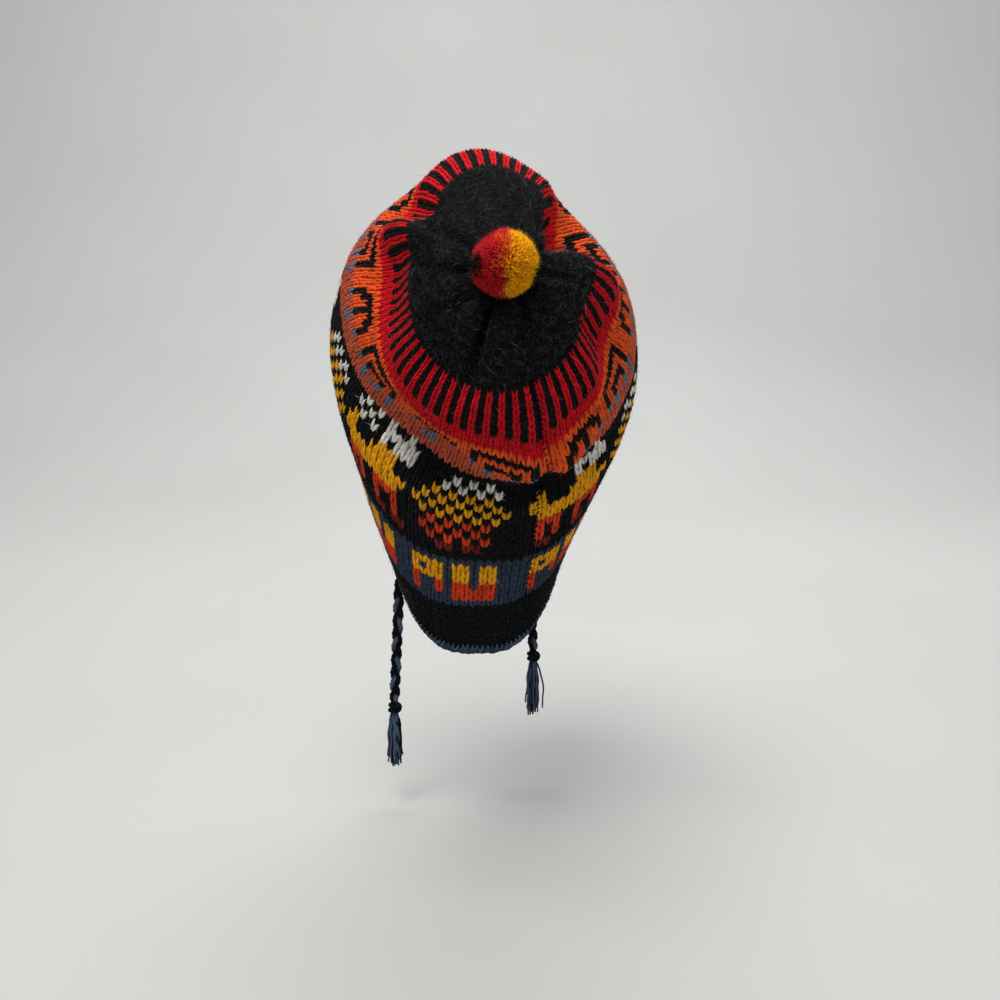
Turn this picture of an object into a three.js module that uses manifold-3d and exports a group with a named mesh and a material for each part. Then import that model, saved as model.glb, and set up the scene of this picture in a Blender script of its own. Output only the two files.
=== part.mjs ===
// Andean knitted hat with ear flaps, a pompom and two braided ties, worn with the crown slouched back.
// Millimetres, +Z up, +Y the way the wearer faces, +X the wearer's right.
// The origin is the point inside the crown that bears on the top of the head.

import * as THREE from 'three';
import { mergeVertices } from 'three/addons/utils/BufferGeometryUtils.js';
import Module from 'manifold-3d';

// Driving dimensions

const WALL = 4.0; // two-colour stranded knitting, with its floats
const FLAP_WALL = 3.4;
const GAP = 0.3; // clearance between sewn or knitted-on pieces
const EDGING_RADIUS = 2.4;
const EDGING_REACH = EDGING_RADIUS + 0.95; // from the fabric's edge to the middle of the edging
const TIE_DIAMETER = 7.6;
const POMPOM_RADIUS = 17.5;
const POMPOM_SAG = 6; // its own weight pulls it down the slope of the crown
const POMPOM_DEPTH = 0.82; // how far its middle stands off the gathered crown, as a share of its radius
const TASSEL_LENGTH = 46;
const TASSEL_RADIUS = 6.2;
const KNOT_RADIUS = 5.2;

const SEAT_ROW = 65; // the last row, gathered under the pompom
const COLUMN_STEPS = 60;
const RING_SAMPLES = 360;
const SOLID_ROWS = [
  0, 3.5, 7, 10.5, 14, 17.5, 20.5, 23.5, 26, 28, 30, 32, 34,
  36, 38, 40, 42, 44.5, 47, 50, 53, 56, 59, 62, SEAT_ROW,
];

// Turns a table's rows into objects with its column names.
function table(columns, rows) {
  return rows.map((row) => Object.fromEntries(columns.map((name, i) => [name, row[i]])));
}

// Each section is a slanted ring of the tube, from the hem to the gathered crown. back and front are
// the ring's points at the middle of the back and of the front. egg widens the front, square flattens
// the back, and roll lowers the right side for each millimetre across.
const SECTIONS = table(
  ['name', 'row', 'backY', 'backZ', 'frontY', 'frontZ', 'half', 'midX', 'egg', 'square', 'roll'],
  [
    ['hem', 0, -76, -284, 72, -102, 63, -3, 0.12, 0.34, 0],
    ['rib_top', 7, -87, -255, 72, -80, 76, -3, 0.12, 0.3, 0],
    ['band_top', 14, -98, -223, 66, -56, 89, -1, 0.12, 0.26, 0.05],
    ['llama_mid', 21, -112, -194, 46, -26, 98, 1, 0.1, 0.1, 0.1],
    ['llama_top', 28, -124, -172, 14, 0, 92, 5, 0.12, 0, 0.14],
    ['orange_top', 38, -155, -147, -44, 12, 73, 9, 0, 0, 0.08],
    ['comb_out', 42, -165, -134, -60, 12, 67, 10, 0, 0, 0.05],
    ['comb_in', 48, -172, -114, -84, 5, 52, 11, 0, 0, 0],
    ['crown_mid', 57, -172, -80, -126, -18, 30, 12, 0, 0, 0],
    ['seat', SEAT_ROW, -162, -54, -156, -46, 4, 14, 0, 0, 0],
  ],
);

// Each fold pushes the fabric out (or in, below zero) round one place, fading over its half angle and
// half rows, and can also push it back. Angles count from the middle of the back, towards the wearer's right.
const FOLDS = table(
  ['name', 'angle', 'row', 'halfAngle', 'halfRows', 'out', 'back'],
  [
    ['front_bump', -169, 42, 38, 14, 10, 0],
    ['valley_left', -132, 43, 16, 12, -9, 0],
    ['valley_right', 128, 45, 30, 15, -46, 0],
    ['lobe_left', -120, 44, 20, 12, 13, 0],
    ['lobe_right', 82, 48, 32, 13, 5, 6],
    ['tuck_left', -95, 42, 54, 9, -12, 0],
    ['tuck_right', 72, 43, 26, 12, -13, 0],
    ['sag_left', -25, 30, 36, 9, -10, 0],
    ['seam_ridge', 19, 40, 12, 16, 2, 0],
    ['back_slouch', 20, 33, 34, 6, 10, 0],
    ['back_crease', 18, 27, 34, 5, -6, 0],
    ['gather_low', -16, 60, 14, 8, -4, 0],
    ['gather_side', 48, 61, 14, 7, -3, 0],
    ['gather_top', -152, 60, 15, 8, -3, 0],
  ],
);

// Each flap hangs from the hem, centred at its angle, and narrows to a rounded tip.
const FLAPS = [
  { side: 'left', angle: -90, halfAngle: 24, tip: [-60, 24, -257] },
  { side: 'right', angle: 104, halfAngle: 24, tip: [45, 50, -227] },
];
const FLAP_TIP_SHARE = 0.2; // width at the tip, as a share of the width at the hem
const FLAP_TAPER_POWER = 1.15; // above 1, the sides bulge a little
const FLAP_LEAD_SHARE = 0.45; // how much of its length a flap follows the hat's own slope before it hangs
const FLAP_ROUND_START = 0.8; // where the tip's rounding starts, down the flap
const FLAP_ROUND_DEPTH = 0.8;
const FLAP_STEPS = [0, 0.14, 0.28, 0.42, 0.56, 0.7, 0.82, 0.92, 1];
const FLAP_COLUMNS = 8;

// The braided ties hang from the flap tips. Their points are below the edging, from top to bottom.
const TIE_ROUTES = {
  left: [
    [-60.1, 24.3, -265.1], [-60.5, 23.6, -275], [-61.6, 22.6, -298], [-63.2, 22, -327], [-64.9, 22, -356],
  ],
  right: [
    [44.4, 50.8, -234.8], [42, 53, -248], [38.5, 56.5, -276], [36, 58.6, -304], [37, 59, -329],
  ],
};

// Colours

const YARNS = {
  charcoal: 0x17181b,
  slate: 0x3a4654,
  poppy: 0xb5121b,
};

const YARN_ROUGHNESS = 0.95;

// Curves and closed surfaces

const smoothBump = (t) => (Math.abs(t) < 1 ? 0.5 + 0.5 * Math.cos(Math.PI * t) : 0);
const wrapDegrees = (a) => ((((a + 180) % 360) + 360) % 360) - 180;

// A smooth curve through one column of the section table, its slopes weighted by the rows' spacing.
function column(name) {
  const rows = SECTIONS.map((s) => s.row);
  const values = SECTIONS.map((s) => s[name]);
  const steps = rows.slice(1).map((r, i) => r - rows[i]);
  const slopes = steps.map((h, i) => (values[i + 1] - values[i]) / h);
  const tangents = rows.map((_, i) => {
    if (i === 0) return slopes[0];
    if (i === rows.length - 1) return slopes[i - 1];
    return (slopes[i - 1] * steps[i] + slopes[i] * steps[i - 1]) / (steps[i - 1] + steps[i]);
  });
  return (row) => {
    let i = 0;
    while (i < steps.length - 1 && row > rows[i + 1]) i += 1;
    const t = (row - rows[i]) / steps[i];
    const t2 = t * t;
    const t3 = t2 * t;
    return (2 * t3 - 3 * t2 + 1) * values[i] + (t3 - 2 * t2 + t) * steps[i] * tangents[i]
      + (3 * t2 - 2 * t3) * values[i + 1] + (t3 - t2) * steps[i] * tangents[i + 1];
  };
}

const COLUMN_NAMES = ['backY', 'backZ', 'frontY', 'frontZ', 'half', 'midX', 'egg', 'square', 'roll'];
const COLUMNS = Object.fromEntries(COLUMN_NAMES.map((name) => [name, column(name)]));

// One ring of the tube before its folds: points evenly spaced along the yarn row, as knitted stitches are.
function ringAt(row) {
  const c = Object.fromEntries(Object.entries(COLUMNS).map(([k, f]) => [k, f(row)]));
  const points = [];
  for (let i = 0; i <= RING_SAMPLES; i += 1) {
    const phi = (i / RING_SAMPLES) * 2 * Math.PI - Math.PI;
    const sine = Math.sin(phi);
    const across = c.half * Math.sign(sine) * Math.abs(sine) ** (1 - c.square) * (1 - c.egg * Math.cos(phi));
    const along = (1 - Math.cos(phi)) / 2;
    points.push(new THREE.Vector3(
      c.midX + across,
      c.backY + (c.frontY - c.backY) * along,
      c.backZ + (c.frontZ - c.backZ) * along - c.roll * across,
    ));
  }
  const reach = [0];
  for (let i = 1; i < points.length; i += 1) reach.push(reach[i - 1] + points[i].distanceTo(points[i - 1]));
  return { points, reach };
}

const ringCache = new Map();

function basePoint(degrees, row) {
  if (!ringCache.has(row)) ringCache.set(row, ringAt(row));
  const { points, reach } = ringCache.get(row);
  const target = ((wrapDegrees(degrees) + 180) / 360) * reach[RING_SAMPLES];
  let low = 0;
  let high = RING_SAMPLES;
  while (high - low > 1) {
    const middle = (low + high) >> 1;
    if (reach[middle] <= target) low = middle;
    else high = middle;
  }
  const span = reach[high] - reach[low];
  return points[low].clone().lerp(points[high], span > 0 ? (target - reach[low]) / span : 0);
}

const ANGLE_PROBE = 2; // degrees either side, for slopes
const ROW_PROBE = 0.5;

// The outward direction of a surface given as a function of angle and row.
function outward(surface, degrees, row) {
  const low = Math.max(0, row - ROW_PROBE);
  const high = Math.min(SEAT_ROW, row + ROW_PROBE);
  const round = surface(degrees + ANGLE_PROBE, row).sub(surface(degrees - ANGLE_PROBE, row));
  const up = surface(degrees, high).sub(surface(degrees, low));
  return round.cross(up).normalize();
}

// The hat's outer face: the ring of the section table, with the folds laid on along its outward direction.
function outerPoint(degrees, row) {
  const point = basePoint(degrees, row);
  const normal = outward(basePoint, degrees, row);
  for (const fold of FOLDS) {
    const fade = smoothBump(wrapDegrees(degrees - fold.angle) / fold.halfAngle)
      * smoothBump((row - fold.row) / fold.halfRows);
    point.addScaledVector(normal, fold.out * fade);
    point.y -= fold.back * fade;
  }
  return point;
}

const columnAngle = (i) => (i / COLUMN_STEPS) * 360 - 180;

// Builds one closed body from rings of points that all have the same length. Each ring joins the next,
// and the loop of rings either closes on itself or is capped by a fan at both ends.
function closedLoft(rings, { loop = false } = {}) {
  const size = rings[0].length;
  const vertices = rings.flat().flatMap((p) => [p.x, p.y, p.z]);
  const triangles = [];
  const bands = loop ? rings.length : rings.length - 1;
  for (let r = 0; r < bands; r += 1) {
    const next = (r + 1) % rings.length;
    for (let i = 0; i < size; i += 1) {
      const j = (i + 1) % size;
      const [a, b, c, d] = [r * size + i, r * size + j, next * size + j, next * size + i];
      triangles.push(a, b, c, a, c, d);
    }
  }
  if (!loop) {
    for (const [r, flip] of [[0, true], [rings.length - 1, false]]) {
      const centre = rings[r].reduce((sum, p) => sum.add(p), new THREE.Vector3()).divideScalar(size);
      const hub = vertices.length / 3;
      vertices.push(centre.x, centre.y, centre.z);
      for (let i = 0; i < size; i += 1) {
        const j = (i + 1) % size;
        const [a, b] = [r * size + i, r * size + j];
        triangles.push(...(flip ? [b, a, hub] : [a, b, hub]));
      }
    }
  }
  const geometry = new THREE.BufferGeometry();
  geometry.setAttribute('position', new THREE.Float32BufferAttribute(vertices, 3));
  geometry.setIndex(triangles);
  return facingOut(geometry);
}

// Turns a closed geometry's triangles round if its signed volume is negative.
function facingOut(geometry) {
  const p = geometry.getAttribute('position');
  const index = geometry.getIndex().array;
  const corner = (k) => new THREE.Vector3().fromBufferAttribute(p, index[k]);
  let volume = 0;
  for (let k = 0; k < index.length; k += 3) volume += corner(k).dot(corner(k + 1).cross(corner(k + 2)));
  if (volume < 0) {
    for (let k = 0; k < index.length; k += 3) [index[k + 1], index[k + 2]] = [index[k + 2], index[k + 1]];
  }
  geometry.computeVertexNormals();
  return geometry;
}

// Joins and cuts

const wasm = await Module();
wasm.setup();

function toManifold(geometry) {
  const bare = geometry.clone();
  for (const name of Object.keys(bare.attributes)) if (name !== 'position') bare.deleteAttribute(name);
  const merged = mergeVertices(bare, 1e-4);
  return new wasm.Manifold(new wasm.Mesh({
    numProp: 3,
    vertProperties: Float32Array.from(merged.getAttribute('position').array),
    triVerts: Uint32Array.from(merged.getIndex().array),
  }));
}

function toGeometry(manifold) {
  const mesh = manifold.getMesh();
  const geometry = new THREE.BufferGeometry();
  geometry.setAttribute('position', new THREE.BufferAttribute(Float32Array.from(mesh.vertProperties), 3));
  geometry.setIndex(new THREE.BufferAttribute(Uint32Array.from(mesh.triVerts), 1));
  geometry.computeVertexNormals();
  return geometry;
}

const fuse = (geometries) => geometries.map(toManifold).reduce((whole, next) => whole.add(next));

// Knitted body: rib, patterned bands and crown in one wall

const AXIS_ROW = 58; // the crown's axis is taken on this row
const AXIS_ROWS = { first: 53, last: 61 }; // where the wall's offset turns to that axis

// The mean outward direction of the crown round the seat.
function crownAxis() {
  const axis = new THREE.Vector3();
  for (let i = 0; i < COLUMN_STEPS; i += 1) axis.add(outward(basePoint, columnAngle(i), AXIS_ROW));
  return axis.normalize();
}

const CROWN_AXIS = crownAxis();

// One ring of the wall, offset from the outer face. Near the seat the offset turns to the crown's axis,
// so that the gathered rings don't cross.
function wallRing(row, offset) {
  const turn = THREE.MathUtils.smoothstep(row, AXIS_ROWS.first, AXIS_ROWS.last);
  return Array.from({ length: COLUMN_STEPS }, (_, i) => {
    const angle = columnAngle(i);
    const direction = outward(outerPoint, angle, row).lerp(CROWN_AXIS, turn).normalize();
    return outerPoint(angle, row).addScaledVector(direction, offset);
  });
}

function knitBody() {
  const outer = SOLID_ROWS.map((row) => wallRing(row, 0));
  const inner = SOLID_ROWS.map((row) => wallRing(row, -WALL));
  return closedLoft([...outer.reverse(), ...inner]);
}

// A thick layer of the crown's outer face, used to seat the pompom on it.
function crownLayer({ firstRow, above, below }) {
  const rows = SOLID_ROWS.filter((row) => row >= firstRow);
  const top = rows.map((row) => wallRing(row, above));
  const bottom = rows.map((row) => wallRing(row, -below));
  return closedLoft([...top.reverse(), ...bottom]);
}

// Ear flaps

// The middle of the hem's wall at an angle, and the way that its stitches run down from there.
function hemAt(degrees) {
  const normal = outward(outerPoint, degrees, 0);
  const point = outerPoint(degrees, 0).addScaledVector(normal, -WALL / 2);
  const down = outerPoint(degrees, 0).sub(outerPoint(degrees, 2)).normalize();
  return { point, down, normal };
}

// A flap's mid surface: s runs across from -1 to 1, t down from 0 to 1. The hem's arc is carried along a
// curve from the hem to the tip and narrows as it goes.
function flapPoint(flap, s, t) {
  const middle = hemAt(flap.angle);
  const edge = hemAt(flap.angle + s * flap.halfAngle);
  const tip = new THREE.Vector3(...flap.tip);
  const lead = middle.point.distanceTo(tip) * FLAP_LEAD_SHARE;
  const spine = new THREE.QuadraticBezierCurve3(
    middle.point, middle.point.clone().addScaledVector(middle.down, lead), tip,
  ).getPoint(t);
  const taper = 1 - (1 - FLAP_TIP_SHARE) * t ** FLAP_TAPER_POWER;
  const last = Math.max(0, (t - FLAP_ROUND_START) / (1 - FLAP_ROUND_START));
  const rounding = Math.sqrt(1 - FLAP_ROUND_DEPTH * Math.min(1, last) ** 2);
  const clear = edge.down.clone().multiplyScalar(GAP * (1 - t));
  return edge.point.clone().sub(middle.point).multiplyScalar(taper * rounding).add(spine).add(clear);
}

const FLAP_PROBE = 0.02;

function flapNormal(flap, s, t) {
  const across = flapPoint(flap, s + FLAP_PROBE, t).sub(flapPoint(flap, s - FLAP_PROBE, t));
  const below = flapPoint(flap, s, Math.min(1, t + FLAP_PROBE));
  const above = flapPoint(flap, s, Math.max(0, t - FLAP_PROBE));
  return below.sub(above).cross(across).normalize();
}

function earFlap(flap) {
  const rings = FLAP_STEPS.map((t) => {
    const across = Array.from({ length: FLAP_COLUMNS + 1 }, (_, i) => -1 + (2 * i) / FLAP_COLUMNS);
    const face = (side) => across.map((s) => (
      flapPoint(flap, s, t).addScaledVector(flapNormal(flap, s, t), (side * FLAP_WALL) / 2)));
    return [...face(1), ...face(-1).reverse()];
  });
  return closedLoft(rings);
}

// Crocheted edging: one closed round cord along the hem and both flaps

const HEM_STEP = 5; // degrees between the edging's points along the hem
const FLAP_SIDE_STEPS = [0.17, 0.3, 0.45, 0.6, 0.75, 0.86, 0.93, 0.98];
const TIP_DROP = 1.1; // how far the edging hangs below a flap's tip, as a share of its reach
const EDGING_STEPS = 135;
const EDGING_SIDES = 6;
const CORNER_CLEAR = 9; // degrees of hem left free beside each flap
const CORNER_TURN = 3.2; // degrees from a flap's side to where the edging turns from the hem to the flap
const CORNER_DROP = 1.3; // how far the edging hangs below the corner, as a share of its reach

function hemEdge(from, to) {
  const count = Math.max(2, Math.round((to - from) / HEM_STEP));
  return Array.from({ length: count + 1 }, (_, i) => {
    const { point, down } = hemAt(from + ((to - from) * i) / count);
    return point.addScaledVector(down, EDGING_REACH);
  });
}

function flapEdge(flap) {
  const side = (s, t) => {
    const along = flapPoint(flap, s, t + FLAP_PROBE).sub(flapPoint(flap, s, t - FLAP_PROBE));
    const out = along.cross(flapNormal(flap, s, t)).setLength(EDGING_REACH);
    const away = flapPoint(flap, s, t).sub(flapPoint(flap, 0, t));
    return flapPoint(flap, s, t).add(out.dot(away) < 0 ? out.negate() : out);
  };
  const corner = (s) => {
    const { point, down } = hemAt(flap.angle + s * (flap.halfAngle + CORNER_TURN));
    return point.addScaledVector(down, EDGING_REACH * CORNER_DROP);
  };
  const end = flapPoint(flap, 0, 1);
  const down = end.clone().sub(flapPoint(flap, 0, 0.94)).normalize();
  return [
    corner(-1),
    ...FLAP_SIDE_STEPS.map((t) => side(-1, t)),
    end.addScaledVector(down, EDGING_REACH * TIP_DROP),
    ...FLAP_SIDE_STEPS.toReversed().map((t) => side(1, t)),
    corner(1),
  ];
}

function edging() {
  const [left, right] = FLAPS;
  const path = [
    ...flapEdge(left),
    ...hemEdge(left.angle + left.halfAngle + CORNER_CLEAR, right.angle - right.halfAngle - CORNER_CLEAR),
    ...flapEdge(right),
    ...hemEdge(
      right.angle + right.halfAngle + CORNER_CLEAR,
      left.angle - left.halfAngle - CORNER_CLEAR + 360,
    ),
  ];
  const curve = new THREE.CatmullRomCurve3(path, true, 'centripetal');
  const frames = curve.computeFrenetFrames(EDGING_STEPS, true);
  const rings = Array.from({ length: EDGING_STEPS }, (_, i) => {
    const centre = curve.getPointAt(i / EDGING_STEPS);
    return Array.from({ length: EDGING_SIDES }, (__, k) => {
      const turn = (k / EDGING_SIDES) * 2 * Math.PI;
      return centre.clone()
        .addScaledVector(frames.normals[i], EDGING_RADIUS * Math.cos(turn))
        .addScaledVector(frames.binormals[i], EDGING_RADIUS * Math.sin(turn));
    });
  });
  return closedLoft(rings, { loop: true });
}

// Braided ties

const TIE_STEPS = 8;
const TIE_SIDES = 10;

function tie(side) {
  const curve = new THREE.CatmullRomCurve3(TIE_ROUTES[side].map((p) => new THREE.Vector3(...p)));
  const section = new THREE.Shape().absarc(0, 0, TIE_DIAMETER / 2, 0, 2 * Math.PI);
  return new THREE.ExtrudeGeometry(section, {
    steps: TIE_STEPS,
    extrudePath: curve,
    curveSegments: TIE_SIDES,
  });
}

// Tassel: a knot with locks of yarn fanned below it

const TASSEL_LOCKS = [
  { turn: 0,   spread: 0.02, share: 1 },
  { turn: 58,  spread: 0.06, share: 0.94 },
  { turn: 112, spread: 0.01, share: 0.98 },
  { turn: 170, spread: 0.05, share: 0.92 },
  { turn: 232, spread: 0.03, share: 1 },
  { turn: 298, spread: 0.10, share: 0.9 },
];
const LOCK_RADIUS = 2.9;
const LOCK_START = 1.6; // how far from the tassel's middle each lock leaves the knot
const LOCK_THINNING = 0.4;
const LOCK_TOP = 4; // where the locks leave the knot, below its middle
const LOCK_SIDES = 5;
const LOCK_STEPS = 3;

function tasselLock({ turn, spread, share }) {
  const angle = THREE.MathUtils.degToRad(turn);
  const length = TASSEL_LENGTH * share;
  const rings = Array.from({ length: LOCK_STEPS + 1 }, (_, i) => {
    const t = i / LOCK_STEPS;
    const swell = THREE.MathUtils.lerp(LOCK_START, TASSEL_RADIUS - LOCK_RADIUS, Math.sin((Math.PI / 2) * t));
    const away = swell + spread * length * t * t;
    const radius = LOCK_RADIUS * (1 - LOCK_THINNING * t);
    return Array.from({ length: LOCK_SIDES }, (__, k) => {
      const a = (k / LOCK_SIDES) * 2 * Math.PI;
      return new THREE.Vector3(
        Math.cos(angle) * away + radius * Math.cos(a),
        Math.sin(angle) * away + radius * Math.sin(a),
        -LOCK_TOP - (length - LOCK_TOP) * t,
      );
    });
  });
  return closedLoft(rings);
}

function tassel(side) {
  const route = TIE_ROUTES[side];
  const end = new THREE.Vector3(...route.at(-1));
  const knot = new THREE.SphereGeometry(KNOT_RADIUS, 10, 7).rotateX(Math.PI / 2);
  const whole = toGeometry(fuse([knot, ...TASSEL_LOCKS.map(tasselLock)]));
  return whole.translate(end.x, end.y, end.z - KNOT_RADIUS - GAP);
}

// Pompom: a ball of cut yarn with blunt locks, flattened where it sits on the gathered crown

const POMPOM_LOCKS = 32;
const POMPOM_CORE_SHARE = 0.93;
const POMPOM_UNEVENNESS = 0.05;
const POMPOM_LOCK = { top: 2.6, bottom: 4.6, sides: 5 };
const CROWN_CUT = { firstRow: 44, above: GAP + 0.1, below: 14 };
const GOLDEN_TURN = Math.PI * (3 - Math.sqrt(5));

function pompomLock(direction, length) {
  const { top, bottom, sides } = POMPOM_LOCK;
  const lock = new THREE.CylinderGeometry(top, bottom, length, sides, 1).translate(0, length / 2, 0);
  const turn = new THREE.Quaternion().setFromUnitVectors(new THREE.Vector3(0, 1, 0), direction);
  return lock.applyQuaternion(turn);
}

function pompom() {
  const ball = new THREE.IcosahedronGeometry(POMPOM_RADIUS * POMPOM_CORE_SHARE, 2);
  const locks = Array.from({ length: POMPOM_LOCKS }, (_, i) => {
    const height = 1 - (2 * (i + 0.5)) / POMPOM_LOCKS;
    const radius = Math.sqrt(1 - height * height);
    const turn = i * GOLDEN_TURN;
    const direction = new THREE.Vector3(radius * Math.cos(turn), radius * Math.sin(turn), height);
    return pompomLock(direction, POMPOM_RADIUS * (1 + POMPOM_UNEVENNESS * Math.sin(turn)));
  });
  const centre = new THREE.Vector3();
  for (const point of wallRing(SEAT_ROW, 0)) centre.addScaledVector(point, 1 / COLUMN_STEPS);
  centre.addScaledVector(CROWN_AXIS, POMPOM_RADIUS * POMPOM_DEPTH);
  centre.z -= POMPOM_SAG;
  const body = fuse([ball, ...locks]).translate([centre.x, centre.y, centre.z]);
  return toGeometry(body.subtract(toManifold(crownLayer(CROWN_CUT))));
}

// Assembly

function piece(name, geometry, color) {
  const yarn = new THREE.MeshStandardMaterial({ color, roughness: YARN_ROUGHNESS, metalness: 0 });
  const mesh = new THREE.Mesh(geometry, yarn);
  mesh.name = name;
  return mesh;
}

const hat = new THREE.Group();
hat.add(piece('knit_body', knitBody(), YARNS.charcoal));
for (const flap of FLAPS) hat.add(piece(`ear_flap_${flap.side}`, earFlap(flap), YARNS.charcoal));
hat.add(piece('edging', edging(), YARNS.slate));
for (const side of Object.keys(TIE_ROUTES)) {
  hat.add(piece(`tie_${side}`, tie(side), YARNS.slate));
  hat.add(piece(`tassel_${side}`, tassel(side), YARNS.slate));
}
hat.add(piece('pompom', pompom(), YARNS.poppy));

export default hat;
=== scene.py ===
"""An Andean knitted hat with ear flaps, a pompom and braided ties, worn with its crown slouched back.

Metres, +Z up, +Y the way the wearer faces, +X the wearer's right. The hat's outer face is a function of two
parameters: an angle in degrees, 0 at the middle of the back and positive towards the wearer's right, and a
row, from 0 at the hem to SEAT_ROW under the pompom. Tables of sizes are in millimetres and are scaled by MM.
"""

import logging
import math
from dataclasses import dataclass
from enum import Enum

import bpy
import numpy as np
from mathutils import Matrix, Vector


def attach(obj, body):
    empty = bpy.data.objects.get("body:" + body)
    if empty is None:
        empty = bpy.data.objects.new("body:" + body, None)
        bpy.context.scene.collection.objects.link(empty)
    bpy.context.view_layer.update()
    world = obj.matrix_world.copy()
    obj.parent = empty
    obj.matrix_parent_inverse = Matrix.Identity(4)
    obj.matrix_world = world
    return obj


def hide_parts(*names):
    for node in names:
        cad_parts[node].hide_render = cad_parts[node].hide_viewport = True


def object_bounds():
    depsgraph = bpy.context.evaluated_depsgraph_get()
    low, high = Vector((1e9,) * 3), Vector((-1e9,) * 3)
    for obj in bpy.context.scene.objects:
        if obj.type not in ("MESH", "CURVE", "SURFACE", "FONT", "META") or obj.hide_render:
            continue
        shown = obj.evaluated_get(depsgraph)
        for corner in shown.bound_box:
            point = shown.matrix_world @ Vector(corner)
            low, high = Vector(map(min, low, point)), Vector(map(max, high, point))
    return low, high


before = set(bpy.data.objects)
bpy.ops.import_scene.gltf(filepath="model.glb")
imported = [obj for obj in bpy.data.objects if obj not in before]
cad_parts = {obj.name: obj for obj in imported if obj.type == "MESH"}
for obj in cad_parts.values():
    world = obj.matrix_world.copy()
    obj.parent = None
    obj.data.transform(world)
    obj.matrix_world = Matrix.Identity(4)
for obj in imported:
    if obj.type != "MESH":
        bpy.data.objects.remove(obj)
CAD_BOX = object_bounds()

LOG = logging.getLogger("hat")
MM = 0.001
Array = np.ndarray

# The driving dimensions, in metres, rows, stitches and degrees
SEAT_ROW = 65
WALL = 4.0 * MM
FLAP_WALL = 3.4 * MM
GAP = 0.3 * MM
EDGING_RADIUS = 2.4 * MM
EDGING_REACH = EDGING_RADIUS + 0.95 * MM
KNOT_RADIUS = 5.2 * MM
TASSEL_LENGTH = 46 * MM
TASSEL_RADIUS = 6.2 * MM
POMPOM_RADIUS = 17.5 * MM
POMPOM_SAG = 6 * MM
POMPOM_DEPTH = 0.82
STITCHES = 120
SEAM_ANGLE = 18.5


@dataclass(frozen=True)
class Drift:
    """How far the knitted rows ride up the face round one place, in rows, fading to its edges.

    A side of -1 or 1 keeps the drift to the left or the right of its angle, as beside a seam.
    """

    name: str
    angle: float
    row: float
    half_angle: float
    half_rows: float
    rise: float
    side: int = 0


DRIFTS = (
    Drift("left_of_seam", SEAM_ANGLE, 40, 20, 10, -2.0, -1),
    Drift("left_of_seam_top", SEAM_ANGLE, 50, 6, 5, 2.6, -1),
    Drift("right_of_seam", SEAM_ANGLE, 36, 22, 12, -0.7, 1),
)


class Dye(Enum):
    """The yarns' colours, as the eye sees them in daylight, from 0 to 255."""

    CHARCOAL = (10, 11, 14)
    SLATE = (46, 58, 76)
    TRIM_SLATE = (66, 82, 104)
    POPPY = (196, 14, 28)
    ORANGE = (222, 84, 30)
    RUST = (188, 86, 56)
    VERMILION = (204, 62, 28)
    BRICK = (112, 34, 28)
    GOLD = (226, 160, 18)
    PLUME_YELLOW = (252, 172, 8)
    CREAM = (222, 220, 212)
    STONE = (108, 112, 128)
    # Not a yarn: the grey of the painted sheen on loose fibres
    SHEEN_GREY = (120, 122, 126)

    def linear(self) -> Array:
        """Returns the colour as linear light, by the standard curve: a straight foot and a power of 2.4."""
        c = np.array(self.value) / 255
        return np.where(c <= 0.04045, c / 12.92, ((c + 0.055) / 1.055) ** 2.4)


@dataclass(frozen=True)
class Section:
    """One slanted ring of the hat's tube: its back and front points, half width and middle, in millimetres.

    Egg narrows the ring towards the back, square fills out its sides, and roll lowers its right side, by that
    many millimetres for each one across.
    """

    name: str
    row: float
    back_y: float
    back_z: float
    front_y: float
    front_z: float
    half: float
    mid_x: float
    egg: float
    square: float
    roll: float


@dataclass(frozen=True)
class Fold:
    """A push on the fabric round one place, out along its face and back, in millimetres.

    It fades to nothing at half_angle degrees and half_rows rows from its middle.
    """

    name: str
    angle: float
    row: float
    half_angle: float
    half_rows: float
    out: float
    back: float = 0.0


SECTIONS = (
    Section("hem", 0, -76, -284, 72, -102, 63, -3, 0.12, 0.34, 0),
    Section("rib_top", 7, -87, -255, 72, -80, 76, -3, 0.12, 0.3, 0),
    Section("band_top", 14, -98, -223, 66, -56, 89, -1, 0.12, 0.26, 0.05),
    Section("llama_mid", 21, -112, -194, 46, -26, 98, 1, 0.1, 0.1, 0.1),
    Section("llama_top", 28, -124, -172, 14, 0, 92, 5, 0.12, 0, 0.14),
    Section("orange_top", 38, -155, -147, -44, 12, 73, 9, 0, 0, 0.08),
    Section("comb_out", 42, -165, -134, -60, 12, 67, 10, 0, 0, 0.05),
    Section("comb_in", 48, -172, -114, -84, 5, 52, 11, 0, 0, 0),
    Section("crown_mid", 57, -172, -80, -126, -18, 30, 12, 0, 0, 0),
    Section("seat", SEAT_ROW, -162, -54, -156, -46, 4, 14, 0, 0, 0),
)

FOLDS = (
    Fold("front_bump", -169, 42, 38, 14, 10),
    Fold("valley_left", -132, 43, 16, 12, -9),
    Fold("valley_right", 128, 45, 30, 15, -46),
    Fold("lobe_left", -120, 44, 20, 12, 13),
    Fold("lobe_right", 82, 48, 32, 13, 5, 6),
    Fold("tuck_left", -95, 42, 54, 9, -12),
    Fold("tuck_right", 72, 43, 26, 12, -13),
    Fold("sag_left", -25, 30, 36, 9, -10),
    Fold("seam_ridge", 19, 40, 12, 16, 2),
    Fold("back_slouch", 20, 33, 34, 6, 10),
    Fold("back_crease", 18, 27, 34, 5, -6),
    Fold("gather_low", -16, 60, 14, 8, -4),
    Fold("gather_side", 48, 61, 14, 7, -3),
    Fold("gather_top", -152, 60, 15, 8, -3),
)

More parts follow.
